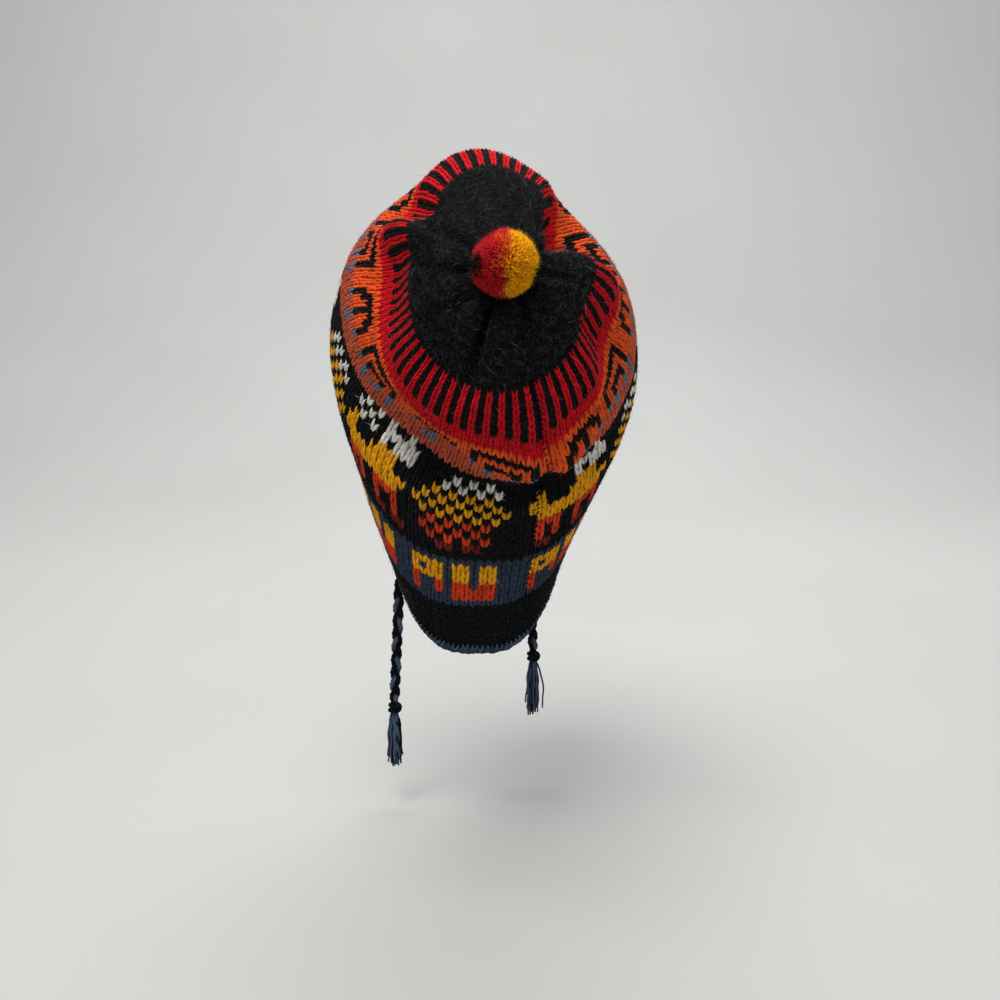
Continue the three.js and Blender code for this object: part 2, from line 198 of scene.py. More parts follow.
# Finer folds than the solid has: the sewn seam's groove and the small pleats drawn in under the pompom.
FINE_FOLDS = (
    Fold("seam_low", SEAM_ANGLE, 12, 4.5, 14, -1.6),
    Fold("seam_middle", SEAM_ANGLE, 32, 6, 13, -5.5),
    Fold("seam_high", SEAM_ANGLE, 47, 6, 14, -2.4),
    Fold("groove_low", -15, 56, 7, 12, -8.0),
    Fold("groove_beside", -40, 60, 9, 7, -3.0),
    Fold("groove_left", -86, 59, 11, 9, -4.0),
    Fold("groove_upper_left", -124, 56, 10, 12, -4.5),
    Fold("groove_right", 26, 58, 8, 10, -4.2),
    Fold("groove_far_right", 80, 59, 10, 9, -3.6),
    Fold("groove_upper_right", 116, 57, 10, 11, -4.5),
    Fold("groove_top", 165, 58, 9, 9, -2.0),
    Fold("puff_low", -28, 56, 11, 9, 2.0),
    Fold("puff_right", 5, 55, 12, 9, 2.0),
    Fold("puff_left", -62, 55, 15, 9, 2.0),
    Fold("puff_side", 53, 55, 15, 9, 2.0),
)


def bump(t: Array) -> Array:
    """A smooth hump: half of one plus the cosine of pi times t, and nothing past t = 1."""
    return np.where(np.abs(t) < 1, 0.5 + 0.5 * np.cos(np.pi * t), 0.0)


def smoothstep(x: Array, low: float, high: float) -> Array:
    """Rises from 0 at low to 1 at high as 3t squared minus 2t cubed."""
    t = np.clip((x - low) / (high - low), 0, 1)
    return t * t * (3 - 2 * t)


def wrap_degrees(angle: Array) -> Array:
    """Brings an angle into -180 to 180."""
    return (angle + 180) % 360 - 180


def unit(v: Array) -> Array:
    """Scales vectors, in the last axis, to length 1."""
    return v / np.maximum(np.linalg.norm(v, axis=-1, keepdims=True), 1e-12)


def hermite(
    t: Array, start: Array, end: Array, leave: Array, arrive: Array, span: Array | float = 1.0,
) -> Array:
    """A cubic from start to end, which leaves the one and arrives at the other at given slopes.

    Args:
        t: the share of the way, from 0 to 1.
        start: the value at 0.
        end: the value at 1.
        leave: the slope at 0.
        arrive: the slope at 1.
        span: the length of the way in the slopes' own unit.
    Returns:
        The value at t.
    """
    return (
        (2 * t**3 - 3 * t**2 + 1) * start
        + (t**3 - 2 * t**2 + t) * span * leave
        + (3 * t**2 - 2 * t**3) * end
        + (t**3 - t**2) * span * arrive
    )


def reach_along(path: Array) -> Array:
    """Returns how far along its path each point lies, for R paths of K points: R by K, each from 0."""
    steps = np.linalg.norm(np.diff(path, axis=1), axis=2)
    return np.concatenate([np.zeros((len(path), 1)), np.cumsum(steps, axis=1)], axis=1)


def catmull_rom(points: Array, samples: int, closed: bool = False) -> Array:
    """A centripetal Catmull-Rom curve through points, evenly spaced along its length.

    Each stretch is a cubic. Its end slopes weigh the neighbouring chords by the square roots of their
    lengths.

    Args:
        points: N points of any width; the first three numbers of each are its place.
        samples: how many points to return.
        closed: whether the last point joins the first.
    Returns:
        An array of samples points.
    """
    p = np.asarray(points, float)
    if closed:
        p = np.concatenate([p[-1:], p, p[:2]])
    else:
        p = np.concatenate([2 * p[:1] - p[1:2], p, 2 * p[-1:] - p[-2:-1]])
    d = np.maximum(np.linalg.norm(np.diff(p[:, :3], axis=0), axis=1) ** 0.5, 1e-4)[:, None]
    p0, p1, p2, p3 = p[:-3], p[1:-2], p[2:-1], p[3:]
    d0, d1, d2 = d[:-2], d[1:-1], d[2:]
    m1 = ((p1 - p0) / d0 - (p2 - p0) / (d0 + d1) + (p2 - p1) / d1) * d1
    m2 = ((p2 - p1) / d1 - (p3 - p1) / (d1 + d2) + (p3 - p2) / d2) * d1
    steps = 32
    t = (np.arange(steps) / steps)[None, :, None]
    dense = hermite(t, *(x[:, None, :] for x in (p1, p2, m1, m2)))
    dense = np.concatenate([dense.reshape(-1, p.shape[1]), p[-2:-1]])
    reach = reach_along(dense[None, :, :3])[0]
    want = np.linspace(0, reach[-1], samples + 1 if closed else samples)[:samples]
    return np.stack([np.interp(want, reach, dense[:, k]) for k in range(p.shape[1])], axis=1)


@dataclass
class Shape:
    """Triangles with a colour and a yarn coordinate at each corner point.

    The yarn coordinate holds the cosine and sine of the angle round the yarn, and the way along it in metres.
    """

    points: Array
    triangles: Array
    colours: Array
    yarn: Array

    @staticmethod
    def joined(shapes: list["Shape"]) -> "Shape":
        """Puts shapes together.

        Args:
            shapes: the shapes, which stay as they are.
        Returns:
            One shape that holds them all.
        """
        starts = np.cumsum([0] + [len(s.points) for s in shapes[:-1]])
        return Shape(
            np.concatenate([s.points for s in shapes]),
            np.concatenate([s.triangles + start for s, start in zip(shapes, starts)]),
            np.concatenate([s.colours for s in shapes]),
            np.concatenate([s.yarn for s in shapes]),
        )

    def to_object(self, name: str, finish: "YarnFinish") -> bpy.types.Object:
        """Makes a Blender object at the origin.

        Args:
            name: the object's name.
            finish: what it is dressed in.
        Returns:
            The new object, linked to the scene.
        """
        mesh = bpy.data.meshes.new(name)
        mesh.vertices.add(len(self.points))
        mesh.vertices.foreach_set("co", self.points.astype(np.float32).ravel())
        mesh.loops.add(self.triangles.size)
        mesh.loops.foreach_set("vertex_index", self.triangles.astype(np.int32).ravel())
        mesh.polygons.add(len(self.triangles))
        mesh.polygons.foreach_set("loop_start", np.arange(0, self.triangles.size, 3, dtype=np.int32))
        mesh.polygons.foreach_set("loop_total", np.full(len(self.triangles), 3, dtype=np.int32))
        mesh.polygons.foreach_set("use_smooth", np.ones(len(self.triangles), dtype=bool))
        mesh.update(calc_edges=True)
        # The dye attribute holds the yarn's colour, with painted shade and painted sheen mixed in on some
        # pieces
        colour = mesh.color_attributes.new(name="dye", type="FLOAT_COLOR", domain="POINT")
        rgba = np.concatenate([self.colours, np.ones((len(self.colours), 1))], axis=1)
        colour.data.foreach_set("color", rgba.astype(np.float32).ravel())
        along = mesh.attributes.new(name="yarn", type="FLOAT_VECTOR", domain="POINT")
        along.data.foreach_set("vector", self.yarn.astype(np.float32).ravel())
        mesh.materials.append(finish.material())
        piece = bpy.data.objects.new(name, mesh)
        bpy.context.scene.collection.objects.link(piece)
        LOG.info("%s: %d triangles", name, len(self.triangles))
        return piece


def spindles(path: Array, lean: Array, wide: Array, high: Array, sides: int, colour: Array) -> Shape:
    """Closed bodies carried along paths, with a single point at each end.

    A ring's point is the path's point, plus the cosine of its angle times wide along the side direction,
    plus the sine times high along the lift direction. The side is lean cross tangent, and the lift is
    tangent cross side. A path whose first two points are alike has a flat end there.

    Args:
        path: N by K by 3, K points for each of N bodies.
        lean: the direction that high is measured along, roughly, N by K by 3 or less.
        wide: half widths, N by K, of which the first and last aren't used.
        high: half heights, as wide.
        sides: points on each ring.
        colour: N by 3, or N by K by 3.
    Returns:
        All the bodies as one shape.
    """
    n, k = path.shape[:2]
    tangent = unit(np.gradient(path, axis=1))
    side = unit(np.cross(np.broadcast_to(lean, path.shape), tangent))
    lift = np.cross(tangent, side)
    turn = np.arange(sides) * 2 * np.pi / sides
    cosine, sine = np.cos(turn), np.sin(turn)
    wide = np.broadcast_to(wide, (n, k))[:, 1:-1, None, None]
    high = np.broadcast_to(high, (n, k))[:, 1:-1, None, None]
    rings = (
        path[:, 1:-1, None, :]
        + side[:, 1:-1, None, :] * wide * cosine[None, None, :, None]
        + lift[:, 1:-1, None, :] * high * sine[None, None, :, None]
    )
    rings_flat = rings.reshape(n, -1, 3)
    points = np.concatenate([path[:, :1], rings_flat, path[:, -1:]], axis=1)
    count = points.shape[1]
    j = np.arange(sides)
    j_next = (j + 1) % sides
    start = np.stack([np.zeros(sides, int), 1 + j_next, 1 + j], axis=1)
    last = 1 + (k - 3) * sides
    end = np.stack([np.full(sides, count - 1), last + j, last + j_next], axis=1)
    faces = [start]
    for ring in range(k - 3):
        low, up = 1 + ring * sides, 1 + (ring + 1) * sides
        faces.append(np.stack([low + j, low + j_next, up + j_next], axis=1))
        faces.append(np.stack([low + j, up + j_next, up + j], axis=1))
    one = np.concatenate(faces + [end])
    triangles = (one[None] + (np.arange(n) * count)[:, None, None]).reshape(-1, 3)
    if colour.ndim == 2:
        colour = np.broadcast_to(colour[:, None, :], (n, k, 3))
    ring_colour = np.repeat(colour[:, 1:-1], sides, axis=1)
    colours = np.concatenate([colour[:, :1], ring_colour, colour[:, -1:]], axis=1)
    reach = reach_along(path)
    yarn = np.zeros((n, count, 3))
    yarn[:, 1:-1, 0] = np.tile(cosine, k - 2)
    yarn[:, 1:-1, 1] = np.tile(sine, k - 2)
    yarn[:, 1:-1, 2] = np.repeat(reach[:, 1:-1], sides, axis=1)
    yarn[:, -1, 2] = reach[:, -1]
    return Shape(points.reshape(-1, 3), triangles, colours.reshape(-1, 3), yarn.reshape(-1, 3))


def double_ends(row: Array) -> Array:
    """Returns the array with its first and last entries along the second axis given twice."""
    return np.concatenate([row[:, :1], row, row[:, -1:]], axis=1)


def tubes(path: Array, lean: Array, radius: Array | float, sides: int, colour: Array) -> Shape:
    """Round yarns with flat ends: spindles whose end points are doubled.

    Args:
        path: N by K by 3, K points for each of N yarns.
        lean: as for spindles.
        radius: one radius, or N by K or less.
        sides: points on each ring.
        colour: N by 3, or N by K by 3.
    Returns:
        All the yarns as one shape.
    """
    lean = double_ends(np.broadcast_to(lean, path.shape))
    radius = double_ends(np.broadcast_to(radius, path.shape[:2]))
    if colour.ndim == 3:
        colour = double_ends(colour)
    return spindles(double_ends(path), lean, radius, radius, sides, colour)


def dress(piece: bpy.types.Object, node: str) -> bpy.types.Object:
    """Lets a piece ride the root body in place of a solid.

    Args:
        piece: the finished piece.
        node: the solid that it replaces.
    Returns:
        The same piece.
    """
    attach(piece, "root")
    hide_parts(node)
    return piece


@dataclass
class Sheet:
    """A surface on a dense grid, sampled between its points in straight lines.

    Args:
        points: V by U by 3 places.
        normals: the outward directions there.
        u_range: the first and last parameter across.
        v_range: the first and last parameter up.
        wraps: whether the last column meets the first.
    """

    points: Array
    normals: Array
    u_range: tuple[float, float]
    v_range: tuple[float, float]
    wraps: bool = False

    def at(self, u: Array, v: Array) -> tuple[Array, Array]:
        """Finds points of the surface.

        Args:
            u: parameters across.
            v: parameters up, which go with them.
        Returns:
            The place and the outward direction at each pair.
        """
        rows, columns = self.points.shape[:2]
        u, v = np.broadcast_arrays(u, v)
        steps = columns if self.wraps else columns - 1
        x = (u - self.u_range[0]) / (self.u_range[1] - self.u_range[0]) * steps
        y = (v - self.v_range[0]) / (self.v_range[1] - self.v_range[0]) * (rows - 1)
        y = np.clip(y, 0, rows - 1.001)
        if not self.wraps:
            x = np.clip(x, 0, columns - 1.001)
        i, j = np.floor(x).astype(int), np.floor(y).astype(int)
        a, b = (x - i)[..., None], (y - j)[..., None]
        i0, i1 = i % columns, (i + 1) % columns

        def blend(grid: Array) -> Array:
            """Weighs the four neighbours by their nearness.

            Args:
                grid: V by U by 3 values.
            Returns:
                The value at each pair of parameters.
            """
            low = grid[j, i0] * (1 - a) + grid[j, i1] * a
            high = grid[j + 1, i0] * (1 - a) + grid[j + 1, i1] * a
            return low * (1 - b) + high * b

        return blend(self.points), unit(blend(self.normals))


@dataclass
class Fabric:
    """The outer face of the hat, as its sections and folds give it, on a grid of angle and row.

    The outward directions are probed angle_probe degrees and row_probe rows to each side. Those of axis_row
    give the crown's axis, and over the rows of axis_turn the directions turn into that axis. The ripple grows
    over the rows of ripple_start and dies over those of ripple_end.
    """

    columns: int = 1440
    row_step: float = 0.25
    ring_points: int = 721
    angle_probe: float = 2.0
    row_probe: float = 0.5
    axis_row: float = 58
    axis_turn: tuple[float, float] = (53, 61)
    ripple_waves: tuple[int, ...] = (5, 8, 12, 17, 23)
    ripple_size: tuple[float, float] = (0.08, 0.16)
    ripple_start: tuple[float, float] = (1, 6)
    ripple_end: tuple[float, float] = (60, 64)

    def __post_init__(self) -> None:
        """Works out the grid once, coarse folds first and fine ones on top of them."""
        self.rows = np.arange(0, SEAT_ROW + self.row_step / 2, self.row_step)
        self.angles = np.arange(self.columns) * 360 / self.columns - 180
        plain = self._rings()
        normals = self._outward(plain)
        self.axis = unit(normals[int(self.axis_row / self.row_step)].mean(axis=0))
        points = self._folded(plain, normals, FOLDS)
        points = self._folded(points, self._outward(points), FINE_FOLDS)
        points += self._outward(points) * self._unevenness()[..., None]
        normals = self._outward(points)
        turn = smoothstep(self.rows, *self.axis_turn)[:, None, None]
        normals = unit(normals * (1 - turn) + self.axis * turn)
        self.sheet = Sheet(points, normals, (-180, 180), (0, SEAT_ROW), wraps=True)
        self.seat = points[-1].mean(axis=0)

    def at(self, angle: Array, row: Array) -> tuple[Array, Array]:
        """Returns the place and outward direction at each angle and row."""
        return self.sheet.at(wrap_degrees(np.asarray(angle, float)), row)

    def _columns(self) -> dict[str, Array]:
        """Each size of the sections as a smooth curve over the rows.

        Between two sections a cubic joins their values. Its end slopes are the mean of the slopes on either
        side, each weighted by the other side's number of rows.

        Returns:
            For each size's name, its value at each row of the grid, as a column.
        """
        knots = np.array([s.row for s in SECTIONS], float)
        gaps = np.diff(knots)
        i = np.clip(np.searchsorted(knots, self.rows, side="right") - 1, 0, len(gaps) - 1)
        t = (self.rows - knots[i]) / gaps[i]
        found = {}
        for name in ("back_y", "back_z", "front_y", "front_z", "half", "mid_x", "egg", "square", "roll"):
            values = np.array([getattr(s, name) for s in SECTIONS], float)
            slope = np.diff(values) / gaps
            inner = (slope[:-1] * gaps[1:] + slope[1:] * gaps[:-1]) / (gaps[:-1] + gaps[1:])
            m = np.concatenate([slope[:1], inner, slope[-1:]])
            found[name] = hermite(t, values[i], values[i + 1], m[i], m[i + 1], gaps[i])[:, None]
        return found

    def _rings(self) -> Array:
        """The tube before its folds, its points evenly spaced round each ring.

        Round the ring, phi runs from the front through the back to the front. The way across is half times
        the sine of phi to the power of one minus square, times one minus egg times the cosine. The way
        along runs from the back point to the front point as half of one minus the cosine.

        Returns:
            Rows by columns by 3.
        """
        c = self._columns()
        phi = np.linspace(-np.pi, np.pi, self.ring_points)[None, :]
        sine = np.sin(phi)
        across = c["half"] * np.sign(sine) * np.abs(sine) ** (1 - c["square"]) * (1 - c["egg"] * np.cos(phi))
        along = (1 - np.cos(phi)) / 2
        ring = np.stack(
            [
                c["mid_x"] + across,
                c["back_y"] + (c["front_y"] - c["back_y"]) * along,
                c["back_z"] + (c["front_z"] - c["back_z"]) * along - c["roll"] * across,
            ],
            axis=-1,
        ) * MM
        reach = reach_along(ring)
        share = (self.angles + 180) / 360
        spaced = [
            np.stack([np.interp(share * reach[r, -1], reach[r], ring[r, :, k]) for k in range(3)], axis=-1)
            for r in range(len(ring))
        ]
        return np.array(spaced)

    def _outward(self, points: Array) -> Array:
        """The direction at right angles to the grid, from differences a little way off on each side.

        Args:
            points: rows by columns by 3.
        Returns:
            The outward direction at each of them.
        """
        k = int(self.angle_probe * self.columns / 360)
        across = np.roll(points, -k, axis=1) - np.roll(points, k, axis=1)
        j = int(self.row_probe / self.row_step)
        index = np.arange(len(self.rows))
        up = points[np.minimum(index + j, len(index) - 1)] - points[np.maximum(index - j, 0)]
        return unit(np.cross(across, up))

    def _folded(self, points: Array, normals: Array, folds: tuple[Fold, ...]) -> Array:
        """Adds each fold: its size times a hump of the angle times a hump of the row.

        Args:
            points: rows by columns by 3.
            normals: the outward directions that the folds push along.
            folds: the folds, which add up where they meet.
        Returns:
            The moved points.
        """
        points = points.copy()
        for fold in folds:
            fade = bump((self.rows - fold.row) / fold.half_rows)[:, None]
            fade = fade * bump(wrap_degrees(self.angles - fold.angle) / fold.half_angle)[None, :]
            points += normals * (fold.out * MM * fade)[..., None]
            points[..., 1] -= fold.back * MM * fade
        return points

    def _unevenness(self) -> Array:
        """A soft ripple, as hand tension leaves it: a sum of slow waves, each under a fifth of a millimetre.

        A wave is the sine of its number times the angle, slanted by its drift, times a cosine of the row.

        Returns:
            Its height at each point of the grid, in metres.
        """
        rng = np.random.default_rng(11)
        angle = np.radians(self.angles)[None, :]
        row = self.rows[:, None]
        ripple = np.zeros((len(self.rows), self.columns))
        for waves in self.ripple_waves:
            phase = rng.uniform(0, 6.28)
            drift = rng.uniform(-0.25, 0.25)
            size = rng.uniform(*self.ripple_size)
            ripple += size * np.sin(waves * angle + phase + drift * row) * np.cos(0.31 * row + 2 * phase)
        return ripple * MM * smoothstep(row, *self.ripple_start) * (1 - smoothstep(row, *self.ripple_end))


@dataclass(frozen=True)
class Motif:
    """A charted figure, its top row first. X is a stitch of the figure's yarn.

    Columns count from the seam. The figure is repeated count times, spacing columns apart.
    """

    chart: tuple[str, ...]
    low_row: int
    first: float
    spacing: float
    count: int

    def stamp(self, mask: Array) -> None:
        """Marks the figure's stitches.

        Args:
            mask: which stitches of the band are in its figure yarn, rows by columns.
        """
        figure = np.array([[mark == "X" for mark in line] for line in reversed(self.chart)])
        rows = self.low_row + np.arange(len(figure))
        for repeat in range(self.count):
            columns = (round(self.first + self.spacing * repeat) + np.arange(figure.shape[1])) % mask.shape[1]
            mask[np.ix_(rows, columns)] |= figure


LLAMA = (
    "......X..X.",
    "......XXXXX",
    "......X.XXX",
    ".X....XXX..",
    "XX...XXXX..",
    "XXXXXXXXXXX",
    ".XXXXXXXXX.",
    ".XXX..XXXX.",
    ".X.X..X..X.",
    ".X.X..X..X.",
    ".XX...XX.XX",
)
SPECKS = (
    ".X.X",
    "X.X.",
    ".X.X",
)
LOZENGE = (
    "....X.X.X..",
    "...X.X.X.X.",
    "..X.X.X.X..",
    ".X.X.X.X.X.",
    "X.X.X.X.X.X",
    ".X.X.X.X.X.",
    "..X.X.X.X..",
    ".X.X.X.X...",
    "..X.X.X.X..",
    "...XX.XX...",
)
LITTLE_BEAST = (
    "XXXX",
    "X.XX",
    "XXXX",
    "X..X",
    "X..X",
    "X...",
)
CUP = (
    "XX.XX",
    "XX.XX",
    "XX.XX",
    "XX.XX",
    "XXXXX",
    "XXXXX",
)
RAKE = (
    ".XXXXX.",
    "XX.X.XX",
    "X..X..X",
    "X..X..X",
    "X..X..X",
    "...X...",
    "..XX...",
)
NESTED_HOOK = (
    "XXXXXXXX",
    "X......X",
    "X.XXXX.X",
    "X.X..X.X",
    "X.X..X.X",
    "..X.XX.X",
    "..X....X",
)


@dataclass(frozen=True)
class Band:
    """A band of knitting: its rows on the hat, each round's two yarns from the bottom up, and its figures.

    Where columns is given, it holds the number of stitches in each round, for bands that decrease.
    """

    name: str
    low: float
    high: float
    ground: tuple[Dye, ...]
    figure: tuple[Dye, ...]
    motifs: tuple[Motif, ...] = ()
    columns: tuple[int, ...] = ()


BAND_PIECES = {
    "block_band_stitches": ("rib", "block_band"),
    "llama_band_stitches": ("llama_band",),
    "fret_band_stitches": ("fret_band",),
    "comb_stitches": ("red_band", "comb"),
    "crown_stitches": ("crown",),
}
D = Dye
BANDS = (
    Band("rib", 0, 7.2, (D.CHARCOAL,) * 8, (D.CHARCOAL,) * 8),
    Band(
        "block_band", 7.2, 14,
        (D.SLATE,) * 8,
        (D.SLATE,) + (D.VERMILION,) * 3 + (D.GOLD,) * 3 + (D.SLATE,),
        (Motif(LITTLE_BEAST, 1, 0, 13.25, 9), Motif(CUP, 1, 5, 13.25, 9)),
    ),
    Band(
        "llama_band", 14, 28,
        (D.CHARCOAL,) * 12,
        (D.CHARCOAL, D.BRICK) + (D.VERMILION,) * 3 + (D.GOLD,) * 4 + (D.CREAM,) * 3,
        (Motif(LLAMA, 1, -1, 23.75, 5), Motif(SPECKS, 9, 23.75, 23.75, 4), Motif(LOZENGE, 1, 11, 23.75, 5)),
    ),
    Band(
        "fret_band", 28, 38,
        (D.RUST,) * 4 + (D.ORANGE,) * 5,
        (D.STONE,) * 4 + (D.CHARCOAL,) * 4 + (D.ORANGE,),
        (Motif(RAKE, 1, 2, 20, 6), Motif(NESTED_HOOK, 1, 11, 20, 6)),
    ),
    Band("red_band", 38, 40.4, (D.POPPY,) * 3, (D.POPPY,) * 3),
    Band("comb", 40.4, 48, (D.CHARCOAL,) * 8, (D.POPPY,) * 8, (Motif(("X",) * 8, 0, 0, 2, 60),)),
    Band(
        "crown", 48, SEAT_ROW,
        (D.CHARCOAL,) * 16, (D.CHARCOAL,) * 16,
        columns=(120,) * 9 + (60,) * 3 + (40, 40, 24, 24),
    ),
)


@dataclass(frozen=True)
class Round:
    """One knitted round: its band, the row that it starts at, how many rows high it is, and its colours."""

    band: str
    low: float
    height: float
    colours: Array


@dataclass
class Chart:
    """The whole knitting chart, round by round from the hem."""

    bands: tuple[Band, ...] = BANDS

    def __post_init__(self) -> None:
        """Lays the bands one above the other, and keeps each round's colours spread over all the stitches."""
        self.rounds: list[Round] = []
        for band in self.bands:
            count = len(band.ground)
            step = (band.high - band.low) / count
            mask = np.zeros((count, STITCHES), bool)
            for motif in band.motifs:
                motif.stamp(mask)
            for row in range(count):
                columns = band.columns[row] if band.columns else STITCHES
                ground, figure = band.ground[row].linear(), band.figure[row].linear()
                colours = np.where(mask[row][:columns, None], figure, ground)
                self.rounds.append(Round(band.name, band.low + row * step, step, colours))
        self.lows = np.array([each.low for each in self.rounds])
        stitch = np.arange(STITCHES)
        self.table = np.array([
            each.colours[stitch * len(each.colours) // STITCHES] for each in self.rounds
        ])

    @staticmethod
    def lean(angle: Array, row: Array) -> Array:
        """How far the rows ride up: the sum of each drift's rise times its humps of angle and row.

        Args:
            angle: angles on the hat.
            row: rows, which go with them.
        Returns:
            The rise at each pair, in rows.
        """
        total = np.zeros(np.broadcast(angle, row).shape)
        for drift in DRIFTS:
            past = wrap_degrees(angle - drift.angle)
            fade = bump(past / drift.half_angle) * bump((row - drift.row) / drift.half_rows)
            if drift.side:
                fade = np.where(past * drift.side > 0, fade, 0)
            total = total + drift.rise * fade
        return total

    def colour_at(self, angle: Array, row: Array) -> Array:
        """Looks up stitches.

        Args:
            angle: angles on the hat.
            row: rows, which go with them.
        Returns:
            The colour of the stitch at each pair, with 3 more in the last axis.
        """
        index = np.clip(np.searchsorted(self.lows, row - self.lean(angle, row), side="right") - 1, 0, None)
        column = np.floor(((angle - SEAM_ANGLE) % 360) / 360 * STITCHES).astype(int) % STITCHES
        return self.table[index, column]


@dataclass(frozen=True)
class YarnFinish:
    """Soft wool: its colour and twist come from the piece's own attributes. The colour is the yarn's dye,
    with painted shade on walls and cores and painted sheen on loose fibres, where the pieces add them.

    The relief is the sine of plies times the angle round the yarn plus twist times the way along it, which
    draws its plies, with fine noise for loose fibres. The dye is uneven in patches of a few millimetres and
    of a fraction of one, by mottle. Scales are waves in a metre.
    """

    name: str
    roughness: float = 0.92
    sheen: float = 0.03
    sheen_roughness: float = 0.45
    plies: float = 2.0
    twist: float = 2600.0
    relief: float = 0.35 * MM
    relief_strength: float = 0.8
    ply_relief: float = 0.25
    specular: float = 0.1
    mottle: float = 0.34
    patch_scale: float = 260.0
    fibre_scale: float = 2600.0
    noise_roughness: float = 0.65

    def material(self) -> bpy.types.Material:
        """Makes the material on first use.

        Returns:
            The material of this finish's name.
        """
        if self.name in bpy.data.materials:
            return bpy.data.materials[self.name]
        made = bpy.data.materials.new(self.name)
        made.use_nodes = True
        nodes, links = made.node_tree.nodes, made.node_tree.links
        shader = nodes["Principled BSDF"]
        shader.inputs["Roughness"].default_value = self.roughness
        shader.inputs["Specular IOR Level"].default_value = self.specular
        shader.inputs["Sheen Weight"].default_value = self.sheen
        shader.inputs["Sheen Roughness"].default_value = self.sheen_roughness
        place = nodes.new("ShaderNodeTexCoord").outputs["Object"]

        def noise(scale: float, detail: float) -> bpy.types.NodeSocket:
            """Adds noise over the piece's place.

            Args:
                scale: waves in a metre.
                detail: how many finer waves lie on them.
            Returns:
                The noise's socket.
            """
            node = nodes.new("ShaderNodeTexNoise")
            node.inputs["Scale"].default_value = scale
            node.inputs["Detail"].default_value = detail
            node.inputs["Roughness"].default_value = self.noise_roughness
            links.new(place, node.inputs["Vector"])
            return node.outputs["Fac"]

        def math_node(kind: str, *values: bpy.types.NodeSocket | float) -> bpy.types.NodeSocket:
            """Adds a sum.

            Args:
                kind: the operation's name.
                values: its inputs in order, each a socket or a number.
            Returns:
                The result's socket.
            """
            node = nodes.new("ShaderNodeMath")
            node.operation = kind
            for slot, value in zip(node.inputs, values):
                if isinstance(value, (int, float)):
                    slot.default_value = value
                else:
                    links.new(value, slot)
            return node.outputs[0]

        dye = nodes.new("ShaderNodeAttribute")
        dye.attribute_name = "dye"
        patches = math_node("ADD", noise(self.patch_scale, 2.0), noise(self.fibre_scale * 0.5, 3.0))
        shade = math_node("MULTIPLY_ADD", patches, 2 * self.mottle, 1 - 2 * self.mottle)
        tinted = nodes.new("ShaderNodeVectorMath")
        tinted.operation = "SCALE"
        links.new(dye.outputs["Color"], tinted.inputs[0])
        links.new(shade, tinted.inputs["Scale"])
        links.new(tinted.outputs[0], shader.inputs["Base Color"])

        yarn = nodes.new("ShaderNodeAttribute")
        yarn.attribute_name = "yarn"
        parts = nodes.new("ShaderNodeSeparateXYZ")
        links.new(yarn.outputs["Vector"], parts.inputs[0])
        turn = math_node("ARCTAN2", parts.outputs["Y"], parts.outputs["X"])
        along = math_node("MULTIPLY", parts.outputs["Z"], self.twist)
        phase = math_node("MULTIPLY_ADD", turn, self.plies, along)
        ply = math_node("MULTIPLY_ADD", math_node("SINE", phase), self.ply_relief, 0.5)
        height = math_node("ADD", ply, noise(self.fibre_scale, 4.0))
        relief = nodes.new("ShaderNodeBump")
        relief.inputs["Distance"].default_value = self.relief
        relief.inputs["Strength"].default_value = self.relief_strength
        links.new(height, relief.inputs["Height"])
        links.new(relief.outputs["Normal"], shader.inputs["Normal"])
        return made


BODY_WOOL = YarnFinish("body_wool")
FLAP_WOOL = YarnFinish("flap_wool")
EDGING_WOOL = YarnFinish("edging_wool")
TIE_WOOL = YarnFinish("tie_wool", twist=1800.0, plies=3.0)
TASSEL_WOOL = YarnFinish("tassel_wool", twist=1800.0, plies=3.0)
POMPOM_WOOL = YarnFinish("pompom_wool", mottle=0.25)
FUZZ_WOOL = YarnFinish("fuzz_wool", sheen=0.02, mottle=0.1, relief=0.05 * MM)


def shade_each(rng: np.random.Generator, colours: Array, spread: float) -> Array:
    """Makes each colour a little lighter or darker, by a normal spread that is cut off at its ends."""
    light = 1 + spread * rng.standard_normal((len(colours), 1))
    return np.clip(colours * np.clip(light, 0.55, 1.5), 0, 1)


@dataclass(frozen=True)
class StitchStyle:
    """The form of one leg of a knitted stitch, as shares of the stitch's width and height.

    Sizes given with MM are in metres. The last four are the spreads of the differences between stitches and
    the least and greatest half width of a leg.
    """

    foot: float = 0.11
    head: float = 0.4
    lean: float = 0.8
    start: float = -0.42
    end: float = 1.22
    width: float = 0.25
    height: float = 0.3
    thickness: float = 1.05 * MM
    depth: float = 0.95 * MM
    tuck: float = 0.5 * MM
    sides: int = 4
    along: tuple[float, ...] = (0.0, 0.16, 0.5, 0.84, 1.0)
    girth: tuple[float, ...] = (0.0, 0.78, 1.0, 0.82, 0.0)
    slack: float = 0.045
    lift: float = 0.09 * MM
    unequal: float = 0.05
    half_widths: tuple[float, float] = (0.45 * MM, 1.6 * MM)


